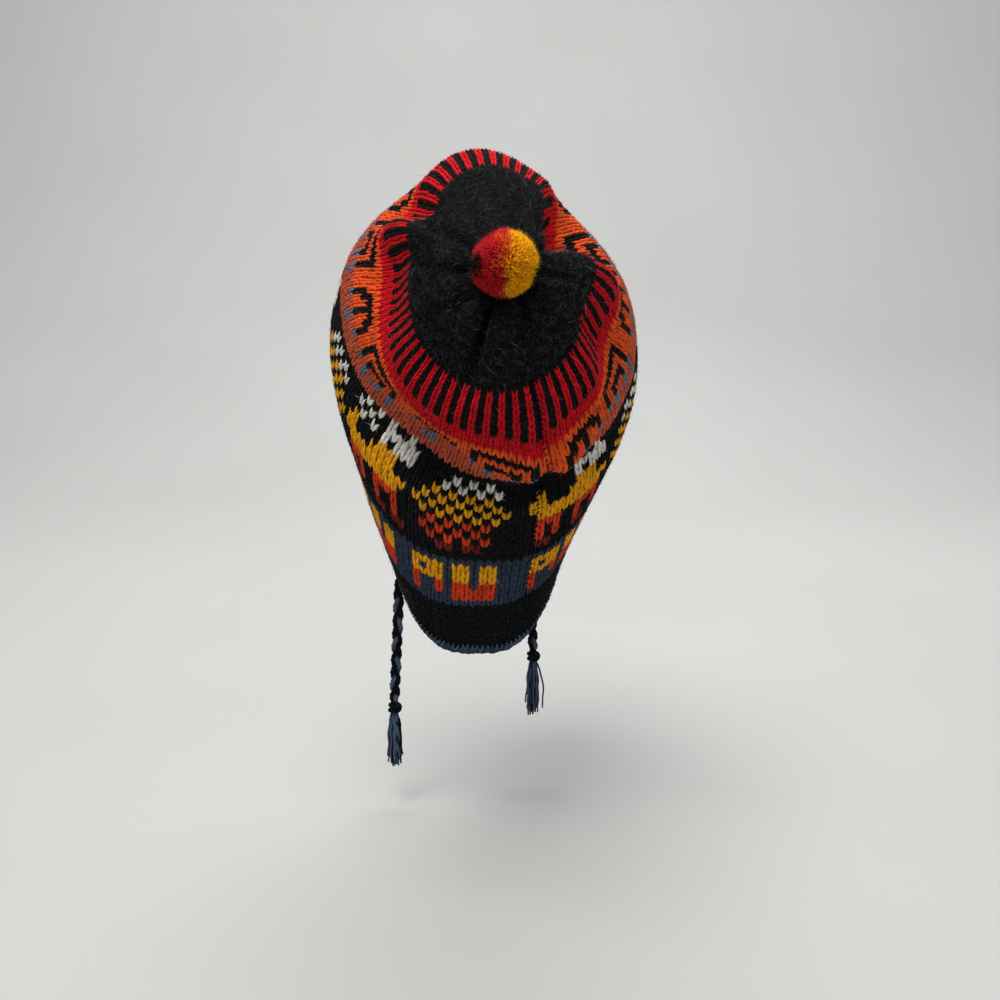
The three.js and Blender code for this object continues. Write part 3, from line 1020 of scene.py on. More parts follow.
def knit_stitches(
    sheet: Sheet, u: Array, v: Array, du: Array, dv: Array, colours: Array, style: StitchStyle,
    rng: np.random.Generator,
) -> Shape:
    """Two rice-grain legs for each stitch, which make its V.

    A leg's line runs across from foot to head, as the share t to the power lean, and up from start to end. It
    dips under the face at both ends by tuck times the square of 2t minus 1.

    Args:
        sheet: the face that the stitches lie on.
        u: each stitch's middle across.
        v: each stitch's foot.
        du: its width in the sheet's parameter.
        dv: its height there, below zero where the work grows downwards.
        colours: N by 3.
        style: the leg's form.
        rng: for the small differences between stitches.
    Returns:
        All the legs as one shape.
    """
    left, _ = sheet.at(u - du / 2, v + dv / 2)
    right, _ = sheet.at(u + du / 2, v + dv / 2)
    width = np.linalg.norm(right - left, axis=1)
    t = np.array(style.along)[None, :]
    shapes = []
    for side in (-1, 1):
        slack = rng.normal(0, style.slack, (len(u), 2))
        across = side * (style.foot + (style.head - style.foot) * t**style.lean) + slack[:, :1]
        upward = style.start + (style.end - style.start) * t + slack[:, 1:]
        depth = style.depth + style.tuck * (2 * t - 1) ** 2
        place, normal = sheet.at(u[:, None] + across * du[:, None], v[:, None] + upward * dv[:, None])
        lift = rng.normal(0, style.lift, (len(u), 1))
        path = place - normal * (depth - lift)[..., None]
        girth = np.array(style.girth)[None, :] * rng.normal(1, style.unequal, (len(u), 1))
        wide = np.clip(width * style.width, *style.half_widths)[:, None] * girth
        high = np.minimum(style.thickness, width[:, None] * style.height) * girth
        shapes.append(spindles(path, normal, wide, high, style.sides, colours))
    return Shape.joined(shapes)


@dataclass
class KnitBody:
    """The knitted tube: a wall with the stitches of each band laid on it, and the seam sewn over them.

    The wall's faces are painted shade, shares of the yarn's own colour: darker on the outer face, where it
    shows between the stitches, and on the inner face, inside the hat. The seam's stitches start and end at
    seam_rows, each seam_width degrees across and slanted by some share of seam_slant rows.
    """

    fabric: Fabric
    chart: Chart
    style: StitchStyle = StitchStyle()
    flat: tuple[float, float] = (0.58, 0.29)
    area: float = 0.145
    uneven_dye: float = 0.09
    wall_columns: int = 160
    wall_rows: int = 78
    wall_face: float = 1.5 * MM
    ridge: float = 0.3 * MM
    ridge_start: tuple[float, float] = (0, 2)
    ridge_end: tuple[float, float] = (58, 62)
    # Painted shade: how bright the wall's outer face, between the stitches, and its inner face, inside the
    # hat, are drawn
    outer_painted_shade: float = 0.45
    inner_painted_shade: float = 0.8
    seam_rows: tuple[float, float] = (1.0, 56.0)
    seam_step: float = 0.8
    seam_width: float = 3.0
    seam_slant: tuple[float, float] = (0.3, 0.7)
    seam_depth: float = 0.7 * MM
    seam_tuck: float = 1.0 * MM
    seam_radius: float = 0.75 * MM
    # Painted shade: how much of the seam's colour is charcoal, for the shade in its groove
    seam_painted_shade: float = 0.75

    def band_shape(self, names: tuple[str, ...], rng: np.random.Generator) -> Shape:
        """Knits some of the bands.

        Args:
            names: the bands.
            rng: for the small differences between stitches.
        Returns:
            Their stitches as one shape.
        """
        u, v, du, dv, colours = [], [], [], [], []
        for each in self.chart.rounds:
            if each.band not in names:
                continue
            count = len(each.colours)
            pitch = 360 / count
            angle = SEAM_ANGLE + (np.arange(count) + 0.5) * pitch
            u.append(angle)
            v.append(each.low + self.chart.lean(angle, np.full(count, each.low + each.height / 2)))
            du.append(np.full(count, pitch))
            dv.append(np.full(count, each.height))
            colours.append(each.colours)
        u, v, du, dv = (np.concatenate(x) for x in (u, v, du, dv))
        colours = shade_each(rng, np.concatenate(colours), self.uneven_dye)
        return knit_stitches(WrappedSheet(self.fabric), u, v, du, dv, colours, self.style, rng)

    def wall_shape(self) -> Shape:
        """The wall under the stitches, closed at the hem and at the seat.

        Its outer face lies wall_face under the fabric's face, and its inner face WALL under it less the depth
        of its ridges: a cosine of the row that turns once in two rows of the wall's grid.

        Returns:
            The closed wall.
        """
        angle = np.arange(self.wall_columns) * 360 / self.wall_columns - 180
        row = np.linspace(0, SEAT_ROW, self.wall_rows + 1)
        a, r = np.meshgrid(angle, row)
        place, normal = self.fabric.at(a, r)
        ridges = self.ridge * np.cos(2 * np.pi * r * self.wall_rows / SEAT_ROW / 2)
        ridges = ridges * smoothstep(r, *self.ridge_start) * (1 - smoothstep(r, *self.ridge_end))
        outer = place - normal * self.wall_face
        inner = place - normal * (WALL - self.ridge + ridges)[..., None]
        colour = self.chart.colour_at(a, r)
        # Painted shade: the wall shows between the stitches and inside the hat as darkened copies of the
        # yarn's colour
        colours = np.concatenate([colour * self.outer_painted_shade, (colour * self.inner_painted_shade)[::-1]])
        return closed_loft(np.concatenate([outer, inner[::-1]]), colours)

    def build(self) -> list[bpy.types.Object]:
        """Makes and dresses the pieces of the body.

        Returns:
            The wall, the seam and the bands' stitches.
        """
        rng = np.random.default_rng(21)
        bands = []
        for name, names in BAND_PIECES.items():
            bands.append(self.band_shape(names, rng).to_object(name, BODY_WOOL))
        seam = self.seam_shape(rng).to_object("back_seam", BODY_WOOL)
        wall = self.wall_shape().to_object("knit_wall", BODY_WOOL)
        for piece in [wall, seam, *bands]:
            dress(piece, "knit_body")
        return [wall, seam, *bands]

    def seam_shape(self, rng: np.random.Generator) -> Shape:
        """The sewn seam: short slanted stitches that draw the edges together, in painted shade of its groove.

        Args:
            rng: for the stitches' slants.
        Returns:
            The stitches, mostly charcoal and tinted by the colours that they lie on, darkened as painted
            shade.
        """
        row = np.arange(*self.seam_rows, self.seam_step)
        t = np.array(self.style.along)[None, :]
        slant = rng.uniform(*self.seam_slant, (len(row), 1))
        angle = SEAM_ANGLE + (t - 0.5) * self.seam_width
        place, normal = self.fabric.at(angle, row[:, None] + (t - 0.5) * slant)
        path = place - normal * (self.seam_depth + self.seam_tuck * (2 * t - 1) ** 2)[..., None]
        girth = np.array(self.style.girth) * self.seam_radius
        colour = self.chart.colour_at(np.full(len(row), SEAM_ANGLE - 2), row)
        # Painted shade: the seam's groove is drawn as charcoal, with the colours beside it darkened to 0.4
        colour = self.seam_painted_shade * Dye.CHARCOAL.linear() + (1 - self.seam_painted_shade) * colour * 0.4
        return spindles(path, normal, girth, girth, 6, colour)


@dataclass
class WrappedSheet:
    """The fabric seen as a sheet whose angle may run past 180 degrees and whose rows past the hem."""

    fabric: Fabric

    def at(self, u: Array, v: Array) -> tuple[Array, Array]:
        """Finds points of the fabric's face, which slides on straight past the hem.

        Args:
            u: angles.
            v: rows, which go with them and may be below 0.
        Returns:
            The place and the outward direction at each pair.
        """
        place, normal = self.fabric.at(u, np.clip(v, 0, SEAT_ROW))
        low, _ = self.fabric.at(u, np.zeros_like(v))
        above, _ = self.fabric.at(u, np.full_like(v, 1.0))
        return place + (low - above) * np.maximum(-v, 0)[..., None], normal


def closed_loft(points: Array, colours: Array) -> Shape:
    """Joins rings of points, each to the next and the last to the first, into one closed wall.

    Args:
        points: R by C by 3, going up the outer face and down the inner one.
        colours: R by C by 3.
    Returns:
        The wall, with the way round and the way up as its yarn coordinate.
    """
    rings, columns = points.shape[:2]
    a = np.arange(rings * columns).reshape(rings, columns)
    b = np.roll(a, -1, axis=1)
    d, c = np.roll(a, -1, axis=0), np.roll(b, -1, axis=0)
    faces = np.concatenate([np.stack([a, b, c], -1).reshape(-1, 3), np.stack([a, c, d], -1).reshape(-1, 3)])
    turn = np.arange(columns) / columns * 2 * np.pi
    yarn = np.zeros((rings, columns, 3))
    yarn[..., 0], yarn[..., 1] = np.cos(turn), np.sin(turn)
    yarn[..., 2] = (np.arange(rings) * MM)[:, None]
    return Shape(points.reshape(-1, 3), faces, colours.reshape(-1, 3), yarn.reshape(-1, 3))


@dataclass
class EarFlap:
    """An ear flap: the hem's arc carried down a curve to the tip, narrowing as it goes.

    Angles are in degrees, and the tip, the stitches' pitch and the rows' rise in millimetres. The flap
    narrows to tip_share of its width, rounded off over its last stretch. Its stitches lie face_depth inside
    its outer face and purl_depth inside its inner one, and the wall between them core_depth inside both. The
    edging leaves the hem corner_angle degrees beside the flap. Drops are shares of the edging's reach.
    """

    fabric: Fabric
    side: str
    angle: float
    tip: tuple[float, float, float]
    half_angle: float = 24
    flat: tuple[float, float] = (0.056, 0.095)
    area: float = 0.0033
    columns: int = 49
    rows: int = 65
    tip_share: float = 0.2
    taper_power: float = 1.15
    lead_share: float = 0.45
    round_start: float = 0.8
    round_depth: float = 0.8
    probe: float = 0.02
    pitch: float = 4.2
    rise: float = 4.3
    fewest: int = 3
    uneven_dye: float = 0.1
    face_depth: float = 1.0 * MM
    purl_depth: float = 0.9 * MM
    purl_tuck: float = 0.6 * MM
    purl_reach: float = 0.55
    purl_radius: float = 1.1 * MM
    core_depth: float = 1.15 * MM
    core_painted_shade: float = 0.5
    corner_angle: float = 3.2
    corner_drop: float = 1.3
    tip_drop: float = 1.1
    tip_start: float = 0.94

    def hem(self, angle: Array) -> tuple[Array, Array, Array]:
        """Finds the hem.

        Args:
            angle: angles on the hat.
        Returns:
            The middle of the hem's wall, the way down and the way out at each.
        """
        low, normal = self.fabric.at(angle, np.zeros_like(angle))
        above, _ = self.fabric.at(angle, np.full_like(angle, 2.0))
        return low - normal * WALL / 2, unit(low - above), normal

    def place(self, s: Array, t: Array) -> Array:
        """The middle of the flap's wall.

        The hem's point, taken from the hem's middle, is scaled by the taper and the tip's rounding, and added
        to a curve with three control points.

        Args:
            s: the way across, from -1 to 1.
            t: the way down, from 0 to 1.
        Returns:
            The place at each pair.
        """
        middle, down, _ = self.hem(np.array([self.angle]))
        edge, edge_down, _ = self.hem(self.angle + s * self.half_angle)
        middle, down, tip = middle[0], down[0], np.array(self.tip) * MM
        lead = middle + down * np.linalg.norm(tip - middle) * self.lead_share
        t = np.asarray(t)[..., None]
        spine = (1 - t) ** 2 * middle + 2 * t * (1 - t) * lead + t**2 * tip
        last = np.clip((t - self.round_start) / (1 - self.round_start), 0, 1)
        taper = 1 - (1 - self.tip_share) * np.abs(t) ** self.taper_power
        scale = taper * np.sqrt(1 - self.round_depth * last**2)
        return (edge - middle) * scale + spine + edge_down * GAP * (1 - t)

    def sheet(self) -> Sheet:
        """Makes the flap's middle face.

        Returns:
            The face as a sheet, with its outward directions.
        """
        s, t = np.meshgrid(np.linspace(-1, 1, self.columns), np.linspace(0, 1, self.rows))
        points = self.place(s, t)
        normals = unit(np.cross(np.gradient(points, axis=1), -np.gradient(points, axis=0)))
        return Sheet(points, normals, (-1, 1), (0, 1))

    def stitches(self, sheet: Sheet, rng: np.random.Generator) -> Shape:
        """Knitted stitches down the outer face and purl bumps down the inner one, fewer as the flap narrows.

        Args:
            sheet: the flap's middle face.
            rng: for the small differences between stitches.
        Returns:
            Both faces' stitches as one shape.
        """
        length = np.linalg.norm(np.diff(sheet.points[:, self.columns // 2], axis=0), axis=1).sum()
        rows = int(length / (self.rise * MM))
        across = np.linspace(-1, 1, 25)
        u, v, du = [], [], []
        for row in range(rows):
            # A row's width is taken a third of the way down it, and its stitches start near its top
            t = (row + 0.35) / rows
            line, _ = sheet.at(across, np.full(len(across), t))
            width = np.linalg.norm(np.diff(line, axis=0), axis=1).sum()
            count = max(self.fewest, round(width / (self.pitch * MM)))
            u.append((np.arange(count) + 0.5) / count * 2 - 1)
            v.append(np.full(count, t - 0.3 / rows))
            du.append(np.full(count, 2 / count))
        u, v, du = (np.concatenate(x) for x in (u, v, du))
        dv = np.full(len(u), 1 / rows)
        colours = shade_each(rng, np.tile(Dye.CHARCOAL.linear(), (len(u), 1)), self.uneven_dye)
        style = StitchStyle(depth=-FLAP_WALL / 2 + self.face_depth, end=1.0)
        outer = knit_stitches(sheet, u, v, du, dv, colours, style, rng)
        t = np.linspace(-self.purl_reach, self.purl_reach, len(style.girth))[None, :]
        place, normal = sheet.at(u[:, None] + t * du[:, None], v[:, None] + 0.5 * dv[:, None] + 0 * t)
        path = place - normal * (FLAP_WALL / 2 - self.purl_depth - self.purl_tuck * (2 * t) ** 2)[..., None]
        girth = np.array(style.girth) * self.purl_radius
        inner = spindles(path, normal, girth * 1.2, girth, 6, colours)
        return Shape.joined([outer, inner])

    def wall(self, sheet: Sheet) -> Shape:
        """The thin closed wall between the two faces of stitches: rings round it, and a fan over each end.
        It is charcoal darkened as painted shade, where it shows between the stitches.

        Args:
            sheet: the flap's middle face, of which every second point is used.
        Returns:
            The closed wall.
        """
        half = FLAP_WALL / 2 - self.core_depth
        front = sheet.points[::2, ::2] + sheet.normals[::2, ::2] * half
        back = sheet.points[::2, ::2] - sheet.normals[::2, ::2] * half
        rings = np.concatenate([front, back[:, ::-1]], axis=1)
        count, columns = rings.shape[:2]
        index = np.arange(count * columns).reshape(count, columns)
        a, b = index[:-1], np.roll(index, -1, axis=1)[:-1]
        d, c = index[1:], np.roll(index, -1, axis=1)[1:]
        faces = [np.stack([a, c, b], -1).reshape(-1, 3), np.stack([a, d, c], -1).reshape(-1, 3)]
        points = [rings.reshape(-1, 3), rings[:1].mean(axis=1), rings[-1:].mean(axis=1)]
        j = np.arange(columns)
        j_next = (j + 1) % columns
        faces.append(np.stack([j, j_next, np.full(columns, count * columns)], axis=1))
        last = (count - 1) * columns
        faces.append(np.stack([last + j_next, last + j, np.full(columns, count * columns + 1)], axis=1))
        points = np.concatenate(points)
        # Painted shade: the wall between the stitches is charcoal at half its brightness
        colours = np.tile(Dye.CHARCOAL.linear() * self.core_painted_shade, (len(points), 1))
        return Shape(points, np.concatenate(faces), colours, np.zeros_like(points))

    def edge(self, shares: tuple[float, ...]) -> Array:
        """Follows the flap's edge down one side, round the tip and up the other.

        Args:
            shares: how far down the flap each point of a side lies.
        Returns:
            N by 6: each point's place, then the fabric's outward direction there.
        """
        sheet = self.sheet()

        def side(s: float, t: Array) -> Array:
            """Follows one side, a little way outside the flap.

            Args:
                s: -1 for the one side, 1 for the other.
                t: how far down each point lies.
            Returns:
                As the method does.
            """
            s_line = np.full(len(t), s)
            along = self.place(s_line, t + self.probe) - self.place(s_line, t - self.probe)
            _, normal = sheet.at(s_line, t)
            out = unit(np.cross(along, normal)) * EDGING_REACH
            away = self.place(s_line, t) - self.place(0 * s_line, t)
            sign = np.sign((out * away).sum(axis=1, keepdims=True))
            return np.concatenate([self.place(s_line, t) + out * sign, normal], axis=1)

        def corner(s: float) -> Array:
            """Returns the point where the edging turns from the hem into the side s, as the method does."""
            point, down, normal = self.hem(np.array([self.angle + s * (self.half_angle + self.corner_angle)]))
            return np.concatenate([point + down * EDGING_REACH * self.corner_drop, normal], axis=1)

        t = np.array(shares)
        end = self.place(np.zeros(1), np.ones(1))
        drop = unit(end - self.place(np.zeros(1), np.array([self.tip_start])))
        _, end_normal = sheet.at(np.zeros(1), np.ones(1))
        tip = np.concatenate([end + drop * EDGING_REACH * self.tip_drop, end_normal], axis=1)
        return np.concatenate([corner(-1), side(-1, t), tip, side(1, t[::-1]), corner(1)])

    def build(self) -> bpy.types.Object:
        """Makes and dresses the flap.

        Returns:
            Its wall, which its stitches go with.
        """
        rng = np.random.default_rng(31 + int(self.angle) % 7)
        sheet = self.sheet()
        wall = self.wall(sheet).to_object(f"flap_{self.side}_wall", FLAP_WOOL)
        stitches = self.stitches(sheet, rng).to_object(f"flap_{self.side}_stitches", FLAP_WOOL)
        for piece in (wall, stitches):
            dress(piece, f"ear_flap_{self.side}")
        return wall


@dataclass(frozen=True)
class Leg:
    """One leg of a crochet stitch, at five points of its line, and how thick it is in millimetres.

    Shift is along the edge in stitches, rise is up the fabric in shares of the stitch's reach, and proud is
    out of the loop's middle in millimetres, below 0 on the inner face.
    """

    name: str
    shift: tuple[float, ...]
    rise: tuple[float, ...]
    proud: tuple[float, ...]
    thick: float = 0.8


FORE, AFT = (0, 0, 0.25, 0.5, 0.5), (0, 0, -0.25, -0.5, -0.5)
LINK, UNDER = (-0.5, -0.25, 0.5, 1.25, 1.5), (-0.3, -0.42, -0.46, -0.42, -0.3)
LEGS = (
    Leg("outer_fore", FORE, (-0.3, -0.1, 0.4, 0.8, 1.0), (0.6, 2.0, 2.8, 2.4, 1.2), 0.82),
    Leg("outer_aft", AFT, (-0.3, -0.1, 0.36, 0.72, 0.9), (0.6, 2.1, 2.7, 2.3, 1.2), 0.82),
    Leg("short", (0.5,) * 5, (-0.34, -0.16, 0.1, 0.3, 0.45), (0.5, 1.8, 2.2, 2.0, 1.4)),
    Leg("inner_fore", FORE, (-0.3, -0.1, 0.3, 0.6, 0.7), (-0.6, -2.0, -2.5, -2.2, -1.4)),
    Leg("inner_aft", AFT, (-0.3, -0.1, 0.3, 0.6, 0.7), (-0.6, -2.0, -2.5, -2.2, -1.4)),
    Leg("outer_link", LINK, UNDER, (0.2, 0.7, 0.9, 0.7, 0.2)),
    Leg("inner_link", LINK, UNDER, (-0.2, -0.7, -0.9, -0.7, -0.2)),
)


@dataclass
class Edging:
    """Crochet along the hem and both flaps, over one loop of yarn.

    Sizes are in millimetres, but hem_step and corner_clear in degrees, and shares as EarFlap.edge takes them.
    The core is two tubes of slate darkened as painted shade, each given by how far up it lies and its
    radius. The stitches' reach and shade vary by shares of their own size.
    """

    flaps: tuple[EarFlap, EarFlap]
    hem_step: float = 5.0
    corner_clear: float = 9.0
    shares: tuple[float, ...] = (0.17, 0.3, 0.45, 0.6, 0.75, 0.86, 0.93, 0.98)
    stitch: float = 3.1
    stitch_points: int = 4
    measure_points: int = 2000
    reach_up: float = 5.2
    core: tuple[tuple[float, float], ...] = ((0.0, 1.9), (2.3, 1.35))
    core_painted_shade: float = 0.3
    reach_spread: tuple[float, float] = (0.72, 1.12)
    shade_spread: tuple[float, float] = (0.3, 1.1)
    uneven_dye: float = 0.1
    wobble: float = 0.14
    girth: tuple[float, ...] = (0.0, 0.85, 1.0, 0.8, 0.0)

    def hem_edge(self, start: float, end: float) -> Array:
        """Follows the hem.

        Args:
            start: the first angle.
            end: the last angle.
        Returns:
            The edging's points, with the way out at each.
        """
        count = max(2, round((end - start) / self.hem_step))
        point, down, normal = self.flaps[0].hem(np.linspace(start, end, count + 1))
        return np.concatenate([point + down * EDGING_REACH, normal], axis=1)

    def loop(self, samples: int) -> tuple[Array, Array, Array]:
        """Follows the whole edge: left flap, hem, right flap and hem again.

        Args:
            samples: how many points to return.
        Returns:
            The loop's places, the fabric's way out, and the way up into the fabric.
        """
        left, right = self.flaps
        clear = self.corner_clear
        points = np.concatenate([
            left.edge(self.shares),
            self.hem_edge(left.angle + left.half_angle + clear, right.angle - right.half_angle - clear),
            right.edge(self.shares),
            self.hem_edge(right.angle + right.half_angle + clear, left.angle - left.half_angle - clear + 360),
        ])
        line = catmull_rom(points, samples, closed=True)
        place, out = line[:, :3], unit(line[:, 3:])
        tangent = unit(np.roll(place, -1, axis=0) - np.roll(place, 1, axis=0))
        up = unit(np.cross(out, tangent))
        return place, out, up

    def build(self) -> bpy.types.Object:
        """Makes a core, drawn darker as painted shade, and over it each stitch's legs: a V on each face, a
        short one and two links.

        Returns:
            The edging.
        """
        rng = np.random.default_rng(41)
        place, _, _ = self.loop(self.measure_points)
        length = np.linalg.norm(np.roll(place, -1, axis=0) - place, axis=1).sum()
        count = round(length / (self.stitch * MM))
        fine = self.stitch_points
        place, out, up = self.loop(count * fine)
        slate = Dye.TRIM_SLATE.linear()
        shapes = []
        for rise, radius in self.core:
            line = (place + up * rise * MM)[::2]
            line = np.concatenate([line, line[:1]])[None]
            lean = np.concatenate([out[::2], out[:1]])[None]
            # Painted shade: the core under the stitches is slate at 0.3 of its brightness
            shapes.append(tubes(line, lean, radius * MM, 8, slate[None] * self.core_painted_shade))
        index = np.arange(count) * fine
        girth = np.array(self.girth)
        reach = self.reach_up * MM * rng.uniform(*self.reach_spread, count)[:, None]
        for leg in LEGS:
            at = [(index + round(fine * shift)) % len(place) for shift in leg.shift]
            points = zip(at, leg.rise, leg.proud)
            line = [place[i] + up[i] * rise * reach + out[i] * proud * MM for i, rise, proud in points]
            path = np.stack(line, axis=1) + rng.normal(0, self.wobble * MM, (count, 1, 3))
            shade = slate * rng.uniform(*self.shade_spread, (count, 1))
            colours = shade_each(rng, shade, self.uneven_dye)
            thick = girth * leg.thick * MM
            shapes.append(spindles(path, out[index][:, None, :], thick, thick, 5, colours))
        return dress(Shape.joined(shapes).to_object("edging_stitches", EDGING_WOOL), "edging")


@dataclass
class Tie:
    """A braided tie of three strands, its knot and its tassel, in millimetres.

    Stray is how far the strays among the ends lie to the side and to the front. The knot's heart is given as
    rings, each by its height over the knot's middle and its radius.
    """

    side: str
    route: tuple[tuple[float, float, float], ...]
    stray: tuple[float, float]
    dyes: tuple[Dye, Dye, Dye] = (Dye.TRIM_SLATE, Dye.CHARCOAL, Dye.CHARCOAL)
    steps: int = 150
    period: float = 29.0
    sway: float = 2.2
    cross: float = 1.2
    plies: int = 3
    ply_reach: float = 0.88
    ply_radius: float = 1.06
    ply_pitch: float = 11.0
    ply_shade: tuple[float, float] = (0.75, 1.2)
    knot_share: float = 0.245
    knot_yarn: float = 1.75
    heart: tuple[tuple[float, float], ...] = ((6.8, 0), (5.8, 2.5), (1.0, 3.3), (-3.4, 2.8), (-4.2, 0))
    ends: int = 54
    end_steps: int = 12
    end_radius: float = 0.85
    end_root: float = 3.0
    end_length: tuple[float, float] = (0.72, 1.0)
    end_inset: float = 1.6
    swell_start: float = 0.35
    swell_rate: float = 2.2
    curl: float = 1.0
    wave: float = 0.35
    waves: tuple[float, float] = (1.5, 3)
    narrowing: float = 0.25
    uneven_dye: float = 0.15
    strays: int = 3

    def line(self, samples: int) -> Array:
        """Returns the tie's middle line, in metres."""
        return catmull_rom(np.array(self.route) * MM, samples)

    def length(self) -> float:
        """Returns the tie's length in metres."""
        return float(np.linalg.norm(np.diff(self.line(200), axis=0), axis=1).sum())

    def braid(self, rng: np.random.Generator) -> Shape:
        """Three strands that change places, each of three twisted plies.

        A strand lies sway times the sine of its turn to the side, and cross times the sine of twice its
        turn to the front, and turns once in each period. Its plies turn round it, evenly apart.

        Args:
            rng: for the plies' shades.
        Returns:
            All the plies as one shape.
        """
        middle = self.line(self.steps)
        tangent = unit(np.gradient(middle, axis=0))
        side = unit(np.array([1.0, 0, 0]) - tangent * tangent[:, :1])
        front = np.cross(tangent, side)
        s = np.linspace(0, self.length() / MM, self.steps)
        ends = np.minimum(smoothstep(s, -3, 6), 1 - 0.5 * smoothstep(s, s[-1] - 5, s[-1] + 3))
        paths, colours = [], []
        for strand, dye in enumerate(self.dyes):
            turn = 2 * np.pi * (s / self.period + strand / 3)
            across = self.sway * np.sin(turn) * ends
            depth = self.cross * np.sin(2 * turn) * ends
            for ply in range(self.plies):
                twist = 2 * np.pi * (s / self.ply_pitch + ply / self.plies) + strand
                x = across + self.ply_reach * np.cos(twist)
                y = depth + self.ply_reach * np.sin(twist)
                paths.append(middle + side * (x * MM)[:, None] + front * (y * MM)[:, None])
                colours.append(dye.linear() * rng.uniform(*self.ply_shade))
        return tubes(np.array(paths), front[None], self.ply_radius * MM, 7, np.array(colours))

    def knot(self, centre: Array) -> Shape:
        """An overhand knot: a trefoil line, which winds three times across as it goes twice round.

        Args:
            centre: its middle.
        Returns:
            The knot, with a heart that fills it and meets the braid.
        """
        t = np.linspace(0, 2 * np.pi, 97)
        wide = 2 + np.cos(3 * t)
        line = np.stack([wide * np.cos(2 * t), wide * np.sin(2 * t), 1.5 * np.sin(3 * t)], axis=1)
        line = line * KNOT_RADIUS * self.knot_share
        dark = self.dyes[1].linear()[None]
        ring = tubes((centre + line)[None], unit(line + 1e-6)[None], self.knot_yarn * MM, 9, dark)
        path = centre + np.array([[0, 0, height] for height, _ in self.heart]) * MM
        girth = np.array([radius for _, radius in self.heart]) * MM
        heart = spindles(path[None], np.array([0, 1.0, 0]), girth, girth, 9, dark)
        return Shape.joined([ring, heart])

    def tassel(self, rng: np.random.Generator) -> Shape:
        """The knot and the loose ends below it: they swell to the tassel's radius, then hang.

        The swell is the first quarter of a sine wave. Each end waves by a slow sine, and curls by the square
        of the share travelled. The strays bow out by a sine to the side.

        Args:
            rng: for the ends' places, lengths and shades.
        Returns:
            The knot and its ends as one shape.
        """
        centre = self.line(20)[-1] - np.array([0, 0, KNOT_RADIUS + GAP])
        count = self.ends
        t = np.linspace(0, 1, self.end_steps)[None, :]
        turn = rng.uniform(0, 2 * np.pi, (count, 1))
        out = np.sqrt(rng.uniform(0.02, 1, (count, 1)))
        length = TASSEL_LENGTH * rng.uniform(*self.end_length, (count, 1))
        swell = np.sin(np.pi / 2 * np.minimum(t * self.swell_rate, 1))
        swell = self.swell_start + (1 - self.swell_start) * swell
        swell = swell * (TASSEL_RADIUS - self.end_inset * MM) * out
        curl = rng.normal(0, self.curl * MM, (count, 1)) * t**2
        waves = t * rng.uniform(*self.waves, (count, 1)) + rng.uniform(0, 1, (count, 1))
        wave = self.wave * MM * np.sin(2 * np.pi * waves)
        x = np.cos(turn) * (swell + curl) + wave
        y = np.sin(turn) * (swell + curl) + wave[:, ::-1]
        root = self.end_root * MM
        z = -root - (length - root) * t
        astray = np.where(np.arange(count) < self.strays, 1, 0)[:, None]
        x = x + astray * self.stray[0] * MM * np.sin(np.pi * 0.62 * t)
        y = y + astray * self.stray[1] * MM * t**1.5
        path = centre + np.stack([x, y, z], axis=-1)
        dark, light = self.dyes[1].linear(), self.dyes[0].linear()
        pick = rng.uniform(0, 1, (count, 1)) < 0.5
        colours = shade_each(rng, np.where(pick, dark, light), self.uneven_dye)
        radius = self.end_radius * MM * (1 - self.narrowing * t) * rng.uniform(0.85, 1.1, (count, 1))
        strands = tubes(path, np.array([0.3, 1.0, 0.1]), radius, 6, colours)
        return Shape.joined([self.knot(centre), strands])

    def build(self) -> bpy.types.Object:
        """Returns:
            The braid, which the tassel goes with.
        """
        rng = np.random.default_rng(51 + len(self.side))
        braid = self.braid(rng).to_object(f"tie_{self.side}_braid", TIE_WOOL)
        tassel = self.tassel(rng).to_object(f"tassel_{self.side}_yarn", TASSEL_WOOL)
        dress(braid, f"tie_{self.side}")
        dress(tassel, f"tassel_{self.side}")
        self.length()
        return braid


@dataclass(frozen=True)
class Dent:
    """A hollow in the pompom, or a tuft where its depth is above 0.

    It lies in the direction way, ends half_angle degrees from there, and is depth shares of the radius deep.
    """

    name: str
    way: tuple[float, float, float]
    half_angle: float
    depth: float


POMPOM_DENTS = (
    Dent("flat_shoulder", (-0.58, -0.15, 0.8), 44, -0.16),
    Dent("left_wedge", (-0.95, -0.2, 0.05), 26, -0.08),
    Dent("right_notch", (0.95, -0.1, -0.28), 26, -0.28),
    Dent("low_tuft", (0.72, -0.3, -0.66), 24, 0.03),
    Dent("right_round", (0.85, -0.4, 0.2), 50, 0.06),
    Dent("low_left", (-0.75, -0.3, -0.55), 34, 0.05),
    Dent("middle_line", (-0.1, -0.9, -0.5), 18, -0.06),
)


